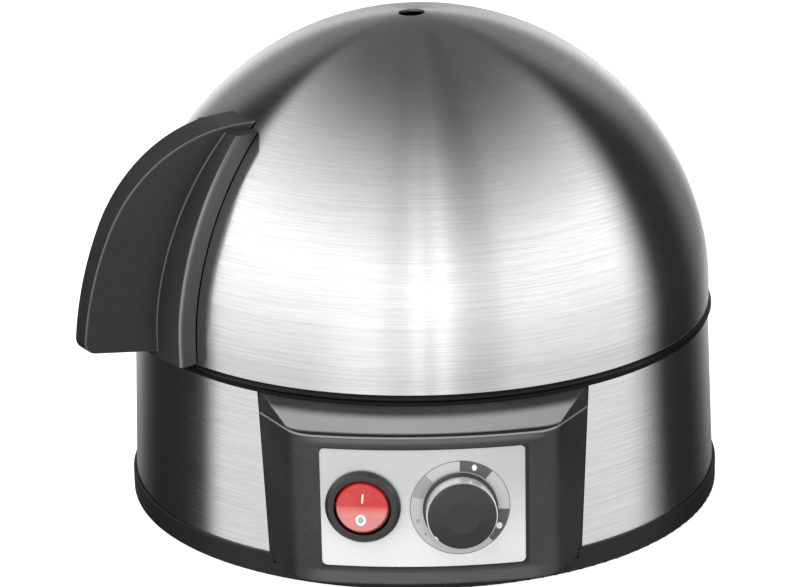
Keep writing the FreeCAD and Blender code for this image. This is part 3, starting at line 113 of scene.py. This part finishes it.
def camera():
    """Camera at the photograph's place and angle."""
    forward = Vector((
        math.sin(CAMERA_YAW) * math.cos(CAMERA_PITCH),
        math.cos(CAMERA_YAW) * math.cos(CAMERA_PITCH),
        -math.sin(CAMERA_PITCH),
    ))
    level = Vector((math.cos(CAMERA_YAW), -math.sin(CAMERA_YAW), 0))
    upright = level.cross(forward)
    right = level * math.cos(CAMERA_ROLL) + upright * math.sin(CAMERA_ROLL)
    up = upright * math.cos(CAMERA_ROLL) - level * math.sin(CAMERA_ROLL)
    data = bpy.data.cameras.new("camera")
    data.lens = CAMERA_LENS
    data.sensor_width = CAMERA_SENSOR
    data.sensor_fit = "HORIZONTAL"
    data.clip_start = 0.01
    made = bpy.data.objects.new("camera", data)
    bpy.context.scene.collection.objects.link(made)
    turn = Matrix((right, up, -forward)).transposed().to_4x4()
    made.matrix_world = Matrix.Translation(CAMERA_PLACE) @ turn
    bpy.context.scene.camera = made


class Value:
    """Output socket of a node; arithmetic on it adds Math nodes."""

    def __init__(self, net, socket):
        self.net = net
        self.socket = socket

    def math(self, operation, *values):
        return self.net.add("ShaderNodeMath", {"operation": operation}, dict(enumerate(values)))

    def __add__(self, other):
        return self.math("ADD", self, other)

    def __sub__(self, other):
        return self.math("SUBTRACT", self, other)

    def __rsub__(self, other):
        return self.math("SUBTRACT", other, self)

    def __mul__(self, other):
        return self.math("MULTIPLY", self, other)

    def __truediv__(self, other):
        return self.math("DIVIDE", self, other)

    __radd__ = __add__
    __rmul__ = __mul__

    def __abs__(self):
        return self.math("ABSOLUTE", self)

    def root(self):
        return self.math("SQRT", self)


class Net:
    """A node tree, with what its values are worked out by."""

    def __init__(self, tree):
        self.tree = tree

    def add(self, kind, settings, values, output=0):
        node = self.tree.nodes.new(kind)
        for name, setting in settings.items():
            setattr(node, name, setting)
        self.fill(node, values)
        return Value(self, node.outputs[output])

    def fill(self, node, values):
        for name, value in values.items():
            if isinstance(value, Value):
                self.tree.links.new(value.socket, node.inputs[name])
            else:
                node.inputs[name].default_value = value

    def noise(self, vector, scale, detail=2.0, roughness=0.5):
        settings = {"noise_dimensions": "3D"}
        values = {"Vector": vector, "Scale": scale, "Detail": detail, "Roughness": roughness}
        return self.add("ShaderNodeTexNoise", settings, values)

    def ease(self, value, low, high, to_low=0.0, to_high=1.0):
        """Smooth step from one value to another between two limits."""
        settings = {"interpolation_type": "SMOOTHSTEP", "clamp": True}
        return self.add("ShaderNodeMapRange", settings, {0: value, 1: low, 2: high, 3: to_low, 4: to_high})

    def between(self, value, low, high, soft):
        """1 inside two limits and 0 outside, with soft ends."""
        rise = self.ease(value, low - soft, low + soft)
        return rise - self.ease(value, high - soft, high + soft)

    def blend(self, factor, first, second):
        """Colour between two colours."""
        settings = {"data_type": "RGBA", "clamp_factor": True}
        return self.add("ShaderNodeMix", settings, {0: factor, 6: (*first, 1), 7: (*second, 1)}, 2)

    def parts(self, vector):
        """X, Y and Z of a vector."""
        node = self.tree.nodes.new("ShaderNodeSeparateXYZ")
        self.fill(node, {0: vector})
        return [Value(self, socket) for socket in node.outputs]

    def joined(self, x, y, z):
        return self.add("ShaderNodeCombineXYZ", {}, {0: x, 1: y, 2: z})

    def share(self, vector, direction):
        """Size of a vector's share along a fixed direction, either way."""
        settings = {"operation": "DOT_PRODUCT"}
        return abs(self.add("ShaderNodeVectorMath", settings, {0: vector, 1: direction}, 1))

    def tint(self, factor, first, second):
        """Colour between a colour socket and a plain colour."""
        settings = {"data_type": "RGBA", "clamp_factor": True}
        return self.add("ShaderNodeMix", settings, {0: factor, 6: first, 7: (*second, 1)}, 2)


class Finish(Net):
    """A material for one kind of surface, measured in millimetres on the object."""

    def __init__(self, name):
        self.material = bpy.data.materials.new(name)
        self.material.use_nodes = True
        super().__init__(self.material.node_tree)
        self.shader = self.tree.nodes["Principled BSDF"]

    def place(self):
        """Object coordinates in millimetres."""
        spot = self.add("ShaderNodeTexCoord", {}, {}, "Object")
        return self.add("ShaderNodeVectorMath", {"operation": "SCALE"}, {0: spot, "Scale": 1 / MM})

    def facing(self):
        """Direction that the surface faces, in the object's own frame."""
        return self.add("ShaderNodeTexCoord", {}, {}, "Normal")

    def bump(self, height, depth_mm):
        values = {"Height": height, "Distance": depth_mm * MM, "Strength": 1.0}
        return self.add("ShaderNodeBump", {}, values)

    def shade(self, **values):
        """Sets the shader's sockets; a name's underscores stand for spaces."""
        self.fill(self.shader, {name.replace("_", " "): value for name, value in values.items()})
        return self.material


def grey(value):
    return (value, value, value)


def scaled(colour, share):
    return tuple(channel * share for channel in colour)


def moulded(name, colour, roughness, gloss=0.5, grain=0.45, depth=0.02, spread=0.12, marks=None):
    """Fine-grained moulded plastic or rubber; marks adds painted light and shade to its colour."""
    finish = Finish(name)
    place = finish.place()
    grains = finish.noise(place, 1 / grain, 3.0)
    clouds = finish.noise(place, 1 / 40, 2.0)
    mottle = finish.ease(grains + clouds, 0.6, 1.4)
    base = finish.blend(mottle, scaled(colour, 1 - spread), scaled(colour, 1 + spread))
    if marks:
        base = marks(finish, base)
    rough = roughness + (clouds - 0.5) * 0.12 + (grains - 0.5) * 0.1
    return finish.shade(
        Base_Color=base, Roughness=rough, Normal=finish.bump(grains, depth), IOR=1.5, Specular_IOR_Level=gloss
    )


def handle_painted_light(finish, base):
    """Painted highlights along the handle's rounded edges and on its foot's ridge, and painted light making
    the sides of its foot paler.
    """
    place = finish.place()
    height = finish.parts(place)[2]
    turned = finish.share(finish.facing(), HANDLE_ACROSS)
    foot = finish.ease(finish.share(place, HANDLE_ACROSS), FOOT_ASIDE - 0.5, FOOT_ASIDE + 0.5)
    # Painted highlight on the handle's rounded edges
    rounding_highlight = finish.between(turned, 0.35, 0.88, 0.15)
    # Painted light on the sides of the foot, stronger higher up
    flank_light = foot * finish.ease(turned, 0.85, 0.95) * finish.ease(height, 70.0, 130.0, 0.5, 1.0)
    # Painted highlight on the foot's ridge, fading towards the top
    ridge_highlight = rounding_highlight * foot * finish.ease(height, 140.0, 115.0, 0.3, 1.0)
    base = finish.tint(flank_light, base, grey(0.075))
    base = finish.tint(rounding_highlight * (1.0 - foot), base, grey(0.085))
    return finish.tint(ridge_highlight, base, grey(0.16))


def panel_painted_light(finish, base):
    """Brow made grey as painted light where it faces up, fading back towards the seam as painted shade;
    painted shade in the crease, a painted highlight on the lip, painted sheen on the frame above and below
    the fascia, and painted shade in the gap round the fascia.
    """
    up = finish.parts(finish.facing())[2]
    x, _, height = finish.parts(finish.place())
    aside = abs(x)
    sloping = finish.ease(up, 0.35, 0.55)
    # Painted light on the upward-facing brow, fading out towards the seam as painted shade
    brow = finish.ease(height, CREASE + 0.1, CREASE + 0.6) * finish.ease(height, CREASE + 4.8, CREASE + 2.9)
    # Painted shade in the crease under the brow
    crease = sloping * finish.between(height, CREASE - 0.2, CREASE + 0.2, 0.1)
    # Painted highlight on the rounded lip under the crease
    lip_highlight = finish.ease(height, CREASE - 1.1, CREASE - 0.8) * finish.ease(height, CREASE, CREASE - 0.2)
    lip_highlight = lip_highlight * finish.between(up, 0.15, 0.75, 0.1)
    # Painted sheen: the frame is made paler above and below the fascia
    over = finish.ease(height, RECESS_HIGH + 0.65, RECESS_HIGH + 2.25)
    over = over * finish.ease(height, CREASE - 0.7, CREASE - 1.1)
    under = finish.ease(height, RECESS_LOW - 0.45, RECESS_LOW - 1.85) * 0.7
    frame_sheen = (over + under) * finish.ease(aside, 40.0, 30.0) * (1.0 - sloping)
    # Painted shade in the narrow gap round the fascia
    gap = finish.ease(aside, RECESS_SIDE + 0.1, RECESS_SIDE - 0.1)
    gap = gap * finish.between(height, RECESS_LOW, RECESS_HIGH, 0.2)
    base = finish.tint(brow * sloping, base, grey(0.2))
    base = finish.tint(lip_highlight, base, grey(0.2))
    base = finish.tint(crease, base, grey(0.004))
    base = finish.tint(frame_sheen, base, grey(0.085))
    return finish.tint(gap, base, grey(0.003))


def plain_metal(name, colour, roughness, scratch=0.6, depth=0.004, metallic=1.0):
    """Plain metal with fine random scuffs."""
    finish = Finish(name)
    place = finish.place()
    scuffs = finish.noise(place, 1 / scratch, 4.0, 0.65)
    clouds = finish.noise(place, 1 / 12, 2.0)
    base = finish.blend(clouds, scaled(colour, 0.88), colour)
    rough = roughness + (scuffs - 0.5) * 0.18 + (clouds - 0.5) * 0.1
    normal = finish.bump(scuffs, depth)
    return finish.shade(Base_Color=base, Roughness=rough, Metallic=metallic, Normal=normal)


def ringed_metal(name, colour, roughness, height_at, fine, contrast, anisotropic, black_below=0):
    """Metal brushed in rings about the upright axis; height_at gives the way across the rings.

    Below a given height the surface is coloured near black, with no metal.
    """
    finish = Finish(name)
    x, y, z = finish.parts(finish.place())
    radius = (x * x + y * y + 0.01).root()
    across = height_at(finish, radius, z)
    cosine, sine = x / radius, y / radius
    hair = finish.noise(finish.joined(cosine * 7.0, sine * 7.0, across * fine), 1.0, 3.0, 0.7)
    streak = finish.noise(finish.joined(cosine * 2.5, sine * 2.5, across * fine / 4), 1.0, 3.0, 0.6)
    clouds = finish.noise(finish.joined(cosine * 1.5, sine * 1.5, across / 25), 1.0, 2.0)
    mark = finish.ease(hair * 0.6 + streak * 0.4, 0.36, 0.62)
    base = finish.blend(mark, scaled(colour, 1 - contrast), colour)
    rough = roughness + (clouds - 0.5) * 0.06 - (mark - 0.5) * 0.07
    normal = finish.bump(hair, 0.006)
    metal = 1.0
    if black_below:
        metal = finish.ease(z, black_below - 0.1, black_below + 0.1)
        base = finish.tint(1.0 - metal, base, grey(0.006))
    return finish.shade(
        Base_Color=base, Roughness=rough, Metallic=metal, Normal=normal,
        Anisotropic=anisotropic, Anisotropic_Rotation=0.25, Specular_IOR_Level=0.15,
    )


def up_the_dome(finish, radius, height):
    """Way up the dome's meridian in millimetres, from the angle seen from inside it."""
    return radius.math("ARCTAN2", height - DOME_CENTRE, radius) * DOME_ARC


def up_the_wall(finish, radius, height):
    return height


def out_from_middle(finish, radius, height):
    return radius + height


def glossy(name, colour, roughness):
    """Smooth moulded plastic with faint waviness."""
    finish = Finish(name)
    place = finish.place()
    waves = finish.noise(place, 1 / 6, 2.0)
    specks = finish.noise(place, 1 / 0.3, 2.0)
    base = finish.blend(waves, scaled(colour, 0.92), scaled(colour, 1.06))
    rough = roughness + (specks - 0.5) * 0.06 + (waves - 0.5) * 0.05
    normal = finish.bump(waves, 0.01)
    return finish.shade(Base_Color=base, Roughness=rough, Normal=normal, IOR=1.5)


def silver_lacquer(name):
    """Fascia: fine metallic grain under a thin lacquer, with painted reflection making it paler towards the
    bottom.
    """
    finish = Finish(name)
    place = finish.place()
    flakes = finish.noise(place, 1 / 0.25, 2.0)
    clouds = finish.noise(place, 1 / 30, 1.0)
    # Painted reflection: the plate is made paler towards the bottom
    low = finish.ease(finish.parts(place)[2], 44.0, 18.0)
    tone = flakes * 0.5 + low * 0.6 + (clouds - 0.5) * 0.3
    base = finish.blend(tone, (0.47, 0.47, 0.48), (0.86, 0.86, 0.87))
    rough = 0.42 + (flakes - 0.5) * 0.2 + (clouds - 0.5) * 0.06
    return finish.shade(Base_Color=base, Roughness=rough, Metallic=0.55, Normal=finish.bump(flakes, 0.006))


def red_with_painted_light(name):
    """Clear red rocker with painted light on its paler lower half and painted shade on its dark rim."""
    finish = Finish(name)
    place = finish.place()
    waves = finish.noise(place, 1 / 6, 2.0)
    height = finish.parts(place)[2] - ROCKER_PLACE.z / MM
    # Painted light: the lower half, which tilts up, is made paler, less so near the bottom edge
    half = finish.ease(height, 1.6, -2.2) * finish.ease(height, -8.5, -5.0, 0.35, 1.0)
    tone = finish.ease(waves, 0.3, 0.7, 0.0, 0.15) + half * 0.85
    base = finish.blend(tone, (0.5, 0.012, 0.01), (0.52, 0.17, 0.16))
    x = finish.parts(place)[0] - ROCKER_PLACE.x / MM + 0.5
    y = height - 0.7
    # Painted shade round the rocker's rim
    rim_shade = finish.ease((x * x + y * y).root(), 7.2, 9.0, 0.0, 0.8)
    base = finish.tint(rim_shade, base, (0.2, 0.02, 0.02))
    rough = 0.2 + (waves - 0.5) * 0.08
    normal = finish.bump(waves, 0.01)
    return finish.shade(
        Base_Color=base, Roughness=rough, Normal=normal, IOR=1.5, Coat_Weight=0.35, Coat_Roughness=0.1
    )


def print_ink(name, colour):
    """Printed ink with a soft edge to its tone."""
    finish = Finish(name)
    dots = finish.noise(finish.place(), 1 / 0.2, 2.0)
    base = finish.blend(dots, scaled(colour, 0.94), colour)
    return finish.shade(Base_Color=base, Roughness=0.5 + (dots - 0.5) * 0.1)


KNOB_PLACE = Vector(joints["knob_turn"]["pos_m"])
KNOB_OUT = -Vector(joints["knob_turn"]["axis"])
ROCKER_PLACE = Vector(joints["rocker_tilt"]["pos_m"])
ROCKER_RIGHT = Vector(joints["rocker_tilt"]["axis"])
ROCKER_OUT = ROCKER_RIGHT.cross(UP)

STEEL = (0.66, 0.66, 0.665)
RECIPES = {
    "dome_steel": (ringed_metal, STEEL, 0.23, up_the_dome, 7.0, 0.14, 0.88, BEAD_TOP),
    "band_steel": (ringed_metal, STEEL, 0.24, up_the_wall, 7.0, 0.13, 0.85),
    "pressed_steel": (ringed_metal, grey(0.58), 0.27, out_from_middle, 1.2, 0.08, 0.4),
    "black_moulding": (moulded, grey(0.012), 0.42, 0.22, 0.6, 0.02, 0.35),
    # Collar: the black moulding made darker and less glossy still, as painted shade under the lid's bead
    "collar_moulding": (moulded, grey(0.005), 0.42, 0.12),
    "panel_moulding": (moulded, grey(0.02), 0.4, 0.5, 0.7, 0.04, 0.5, panel_painted_light),
    "handle_moulding": (moulded, grey(0.02), 0.46, 0.3, 0.5, 0.03, 0.3, handle_painted_light),
    "silver_plate": (silver_lacquer,),
    "switch_black": (glossy, grey(0.018), 0.3),
    "switch_red": (red_with_painted_light,),
    "knob_black": (moulded, grey(0.02), 0.36, 0.45, 0.5, 0.012),
    "knob_chrome": (plain_metal, grey(0.8), 0.22, 0.8, 0.001, 0.65),
    "zinc": (plain_metal, (0.6, 0.61, 0.63), 0.34),
    "rubber": (moulded, grey(0.02), 0.7, 0.4, 0.6, 0.04),
    "silicone": (moulded, (0.42, 0.12, 0.08), 0.55),
    "heater_sheath": (plain_metal, (0.3, 0.28, 0.27), 0.5, 1.5, 0.02),
    "cast_aluminium": (plain_metal, grey(0.68), 0.48, 0.9, 0.03),
    "ceramic": (moulded, (0.82, 0.79, 0.72), 0.6),
    "brass": (plain_metal, (0.72, 0.52, 0.24), 0.3),
    "bakelite": (moulded, (0.07, 0.045, 0.035), 0.35),
    "nylon": (moulded, (0.74, 0.73, 0.68), 0.45),
    "glass_sleeve": (moulded, (0.7, 0.67, 0.58), 0.8, 0.3, 0.8, 0.08),
    "ink_dark": (print_ink, grey(0.09)),
    "ink_middle": (print_ink, grey(0.33)),
    "ink_light": (print_ink, grey(0.52)),
    "ink_line": (print_ink, grey(0.2)),
    "ink_white": (print_ink, grey(0.85)),
}
FINISHES = {name: make(name, *values) for name, (make, *values) in RECIPES.items()}

NODE_FINISH = {
    "base_tray": "black_moulding", "rubber_feet": "rubber", "tray_screws": "zinc",
    "steel_band": "band_steel", "base_housing": "black_moulding", "rim_collar": "collar_moulding",
    "panel_housing": "panel_moulding", "panel_screws": "zinc", "fascia_plate": "silver_plate",
    "switch_body": "switch_black", "switch_rocker": "switch_red", "switch_terminals": "brass",
    "knob_core": "knob_black", "knob_ring": "knob_chrome", "control_shaft": "zinc",
    "regulator_body": "bakelite", "regulator_nut": "zinc", "regulator_terminals": "brass",
    "heating_dish": "pressed_steel", "dish_seal": "silicone", "dish_nuts": "zinc",
    "heat_spreader": "cast_aluminium", "heating_element": "heater_sheath",
    "heater_insulators": "ceramic", "heater_pins": "zinc", "thermal_cutout": "bakelite",
    "cutout_strap": "zinc", "strap_spacers": "zinc", "strap_screws": "zinc",
    "thermal_fuse": "glass_sleeve", "fuse_clip": "zinc", "terminal_block": "nylon",
    "terminal_screws": "brass", "buzzer": "bakelite", "cord_clamp": "nylon", "floor_screws": "zinc",
    "cord_gland": "black_moulding", "gland_nut": "nylon", "lid_dome": "dome_steel",
    "lid_handle": "handle_moulding", "handle_screws": "zinc", "handle_washers": "zinc",
    "egg_tray": "pressed_steel", "tray_grips": "black_moulding", "grip_rivets": "zinc",
}


def dress_nodes():
    """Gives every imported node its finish."""
    for name, node in nodes.items():
        node.data.materials.clear()
        node.data.materials.append(FINISHES[NODE_FINISH[name]])


def on_fascia(spot):
    """Point on the curved fascia, from right, up and out about the knob's middle."""
    lean = spot.x / FASCIA_RADIUS
    axis = KNOB_PLACE - KNOB_OUT * FASCIA_RADIUS
    right = UP.cross(KNOB_OUT)
    reach = FASCIA_RADIUS + spot.z
    return axis + (right * math.sin(lean) + KNOB_OUT * math.cos(lean)) * reach + UP * spot.y


def on_rocker(spot):
    """Point on the rocker's two flat halves, from right, up and out about its middle."""
    half = ROCKER_THROW / 2
    crest_up = ROCKER_RISE * math.sin(half)
    crest_out = ROCKER_RISE * math.cos(half)
    below = max(0.0, crest_up - spot.y)
    out = crest_out + below * math.tan(ROCKER_THROW) + spot.z
    return ROCKER_PLACE + ROCKER_RIGHT * spot.x + UP * spot.y + ROCKER_OUT * out


def finished(name, mesh, finish, body):
    """Turns a bmesh into a piece that rides on a body and takes its finish from a slot."""
    bmesh.ops.remove_doubles(mesh, verts=mesh.verts, dist=0.001 * MM)
    bmesh.ops.recalc_face_normals(mesh, faces=mesh.faces)
    data = bpy.data.meshes.new(name)
    mesh.to_mesh(data)
    mesh.free()
    piece = bpy.data.objects.new(name, data)
    bpy.context.scene.collection.objects.link(piece)
    data.materials.append(FINISHES[finish])
    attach(piece, body)


def thickened(mesh, thickness):
    """Gives a flat shape in the XY plane a thickness towards +Z."""
    made = bmesh.ops.extrude_face_region(mesh, geom=mesh.faces[:])
    raised = [part for part in made["geom"] if isinstance(part, bmesh.types.BMVert)]
    bmesh.ops.translate(mesh, verts=raised, vec=(0, 0, thickness))


def sector(inner, outer, start, stop):
    """Flat ring sector between two angles in degrees, anticlockwise from three o'clock."""
    mesh = bmesh.new()
    turn = Matrix.Rotation(math.radians(start), 3, "Z")
    ends = [mesh.verts.new(turn @ Vector((reach, 0, 0))) for reach in (inner, outer)]
    side = mesh.edges.new(ends)
    steps = max(2, round(abs(stop - start) / SECTOR_STEP))
    full = abs(stop - start) >= 360
    bmesh.ops.spin(
        mesh, geom=ends + [side], axis=(0, 0, 1), cent=(0, 0, 0),
        angle=math.radians(stop - start), steps=steps, use_merge=full,
    )
    return mesh


def disc(radius, stretch, place):
    """Flat oval: a disc stretched along Y and moved in the XY plane."""
    mesh = bmesh.new()
    bmesh.ops.create_circle(mesh, cap_ends=True, radius=radius, segments=24)
    bmesh.ops.scale(mesh, vec=(1, stretch, 1), verts=mesh.verts)
    bmesh.ops.translate(mesh, verts=mesh.verts, vec=place)
    return mesh


def printed(name, mesh, finish, level=0):
    """Wraps a flat shape round the fascia as a thin layer of ink."""
    thickened(mesh, PRINT_THICKNESS)
    for vert in mesh.verts:
        vert.co = on_fascia(vert.co + UP * (PRINT_LIFT + level * PRINT_THICKNESS))
    finished(name, mesh, finish, "base")


def polar(radius, degrees):
    angle = math.radians(degrees)
    return Vector((radius * math.cos(angle), radius * math.sin(angle), 0))


def dial_print():
    """Printed ring round the knob: light ring, thin outline, three shaded stretches and egg marks."""
    printed("dial_ring", sector(DIAL_INNER, DIAL_OUTER, 0, 360), "ink_light")
    printed("dial_outline", sector(DIAL_OUTER - DIAL_LINE, DIAL_OUTER, 0, 360), "ink_line", 1)
    stretches = {
        "dial_soft": (134, 165, "ink_middle"),
        "dial_medium": (49, 90, "ink_dark"),
        "dial_hard": (-49.5, -5, "ink_dark"),
    }
    for name, (start, stop, finish) in stretches.items():
        printed(name, sector(DIAL_INNER, DIAL_OUTER, start, stop), finish, 1)
    middle = (DIAL_INNER + DIAL_OUTER) / 2
    marks = {
        "mark_medium": (0.75 * MM, 1.35, 71, "ink_white", 2),
        "mark_hard": (0.95 * MM, 1.1, -29, "ink_white", 2),
        "mark_soft": (0.55 * MM, 1.1, 197, "ink_middle", 1),
        "mark_softest": (0.45 * MM, 1.1, 218, "ink_middle", 1),
    }
    for name, (radius, stretch, angle, finish, level) in marks.items():
        printed(name, disc(radius, stretch, polar(middle, angle)), finish, level)


def rocker_marks():
    """Bar on the rocker's upper half, and a ring with a grey middle on its lower half."""
    bar = bmesh.new()
    bmesh.ops.create_grid(bar, x_segments=1, y_segments=1, size=0.5)
    bmesh.ops.scale(bar, vec=(BAR_WIDTH, BAR_LENGTH, 1), verts=bar.verts)
    bmesh.ops.rotate(bar, verts=bar.verts, cent=(0, 0, 0), matrix=Matrix.Rotation(BAR_LEAN, 3, "Z"))
    bmesh.ops.translate(bar, verts=bar.verts, vec=BAR_PLACE)
    ring = sector(RING_INNER, RING_OUTER, 0, 360)
    bmesh.ops.translate(ring, verts=ring.verts, vec=RING_PLACE)
    marks = {
        "mark_on": (bar, "ink_white"),
        "mark_off": (ring, "ink_white"),
        "mark_off_middle": (disc(RING_INNER, 1.0, RING_PLACE), "ink_middle"),
    }
    for name, (mesh, ink) in marks.items():
        thickened(mesh, PRINT_THICKNESS)
        for vert in mesh.verts:
            vert.co = on_rocker(vert.co + UP * PRINT_LIFT)
        finished(name, mesh, ink, "rocker")


def floor():
    """Pale floor that takes the shadow and looks white to the camera."""
    mesh = bmesh.new()
    bmesh.ops.create_circle(mesh, cap_ends=True, radius=FLOOR_RADIUS, segments=96)
    data = bpy.data.meshes.new("floor")
    mesh.to_mesh(data)
    mesh.free()
    ground = bpy.data.objects.new("floor", data)
    bpy.context.scene.collection.objects.link(ground)
    ground.visible_glossy = False
    finish = Finish("floor")
    ray = finish.add("ShaderNodeLightPath", {}, {}, "Is Camera Ray")
    seen = finish.blend(ray, grey(0), grey(1))
    data.materials.append(finish.shade(
        Base_Color=(0.5, 0.5, 0.5, 1), Roughness=0.9, Emission_Color=seen, Emission_Strength=0.95
    ))


def surface_seen(net):
    """Azimuth and rise, in degrees, of the surface that mirrors a direction of the world to the camera."""
    direction = net.add("ShaderNodeTexCoord", {}, {}, "Generated")
    toward = net.add("ShaderNodeVectorMath", {"operation": "ADD"}, {0: direction, 1: TOWARD_CAMERA})
    facing = net.add("ShaderNodeVectorMath", {"operation": "NORMALIZE"}, {0: toward})
    x, y, z = net.parts(facing)
    azimuth = x.math("ARCTAN2", x, y * -1.0) * math.degrees(1)
    rise = z.math("ARCSINE", z) * math.degrees(1)
    return azimuth, rise


def front_panel(net, azimuth, rise):
    """Broad light in front: a bright crest, fading upwards, with thin dark and bright posts."""
    up = rise - abs(azimuth - 12.0) * 0.3
    fade = net.ease(up, 55.0, 9.0)
    foot = net.ease(rise, 6.0, 18.0, 0.76, 1.0)
    foot = foot + net.between(azimuth, -18.0, -2.0, 6.0) * net.ease(rise, 18.0, 4.0) * 0.2
    posts = 1.0 - net.between(azimuth, -7.5, -2.5, 1.5) * 0.14 - net.between(azimuth, 7.5, 16.0, 3.0) * 0.22
    posts = posts + net.between(azimuth, -1.4, 0.2, 0.7) * 0.28 - net.between(azimuth, 0.9, 2.0, 0.5) * 0.12
    posts = posts + net.between(azimuth, 3.0, 5.2, 0.8) * 0.4
    crest = net.between(rise - abs(azimuth) * 0.27, 13.0, 20.0, 5.0)
    return (fade * 1.5 + 0.13 + crest * 0.36) * foot * posts


def outer_walls(net, azimuth, rise):
    """Dark gap beside the front light, a dim wall beyond it and a pale one behind, all dimmer high up."""
    side = abs(azimuth)
    lifted = net.ease(rise, 35.0, 75.0, 0.0, 18.0)
    wall = net.ease(side + lifted, 64.0, 78.0) * net.ease(rise, 30.0, 60.0, 0.2, 0.42)
    low = net.ease(rise, 14.0, 2.0, 0.0, 8.0)
    behind = net.ease(side + low, 78.0, 96.0) * 0.85
    return (wall + behind + 0.035) * net.ease(rise, 30.0, 80.0, 1.0, 0.52)


def world():
    """Studio round the object, as the steel shows it."""
    made = bpy.data.worlds.new("studio")
    bpy.context.scene.world = made
    made.use_nodes = True
    net = Net(made.node_tree)
    azimuth, rise = surface_seen(net)
    left_edge = azimuth + net.ease(rise, 5.0, 20.0) * 3.0
    inside = net.ease(left_edge, *LIGHT_LEFT) - net.ease(azimuth, *LIGHT_RIGHT)
    glow = inside * front_panel(net, azimuth, rise) + (1.0 - inside) * outer_walls(net, azimuth, rise)
    glow = glow * net.ease(rise, -10.0, 0.0, 0.3, 1.0)
    ray = net.add("ShaderNodeLightPath", {}, {}, "Is Camera Ray")
    strength = glow * (1.0 - ray) + ray
    net.fill(made.node_tree.nodes["Background"], {"Color": (1, 1, 1, 1), "Strength": strength})


def lamp(name, place, size, power):
    """Soft square lamp that looks at the middle of the object."""
    data = bpy.data.lights.new(name, "AREA")
    data.shape = "SQUARE"
    data.size = size
    data.energy = power
    made = bpy.data.objects.new(name, data)
    bpy.context.scene.collection.objects.link(made)
    toward = LAMP_AIM - Vector(place)
    made.matrix_world = Matrix.Translation(place) @ toward.to_track_quat("-Z", "Y").to_matrix().to_4x4()
    made.visible_glossy = False


bpy.context.scene.view_settings.view_transform = "Standard"
camera()
dress_nodes()
dial_print()
rocker_marks()
floor()
world()
lamp("overhead_lamp", place=(-0.3, -0.5, 1.4), size=1.0, power=18.0)
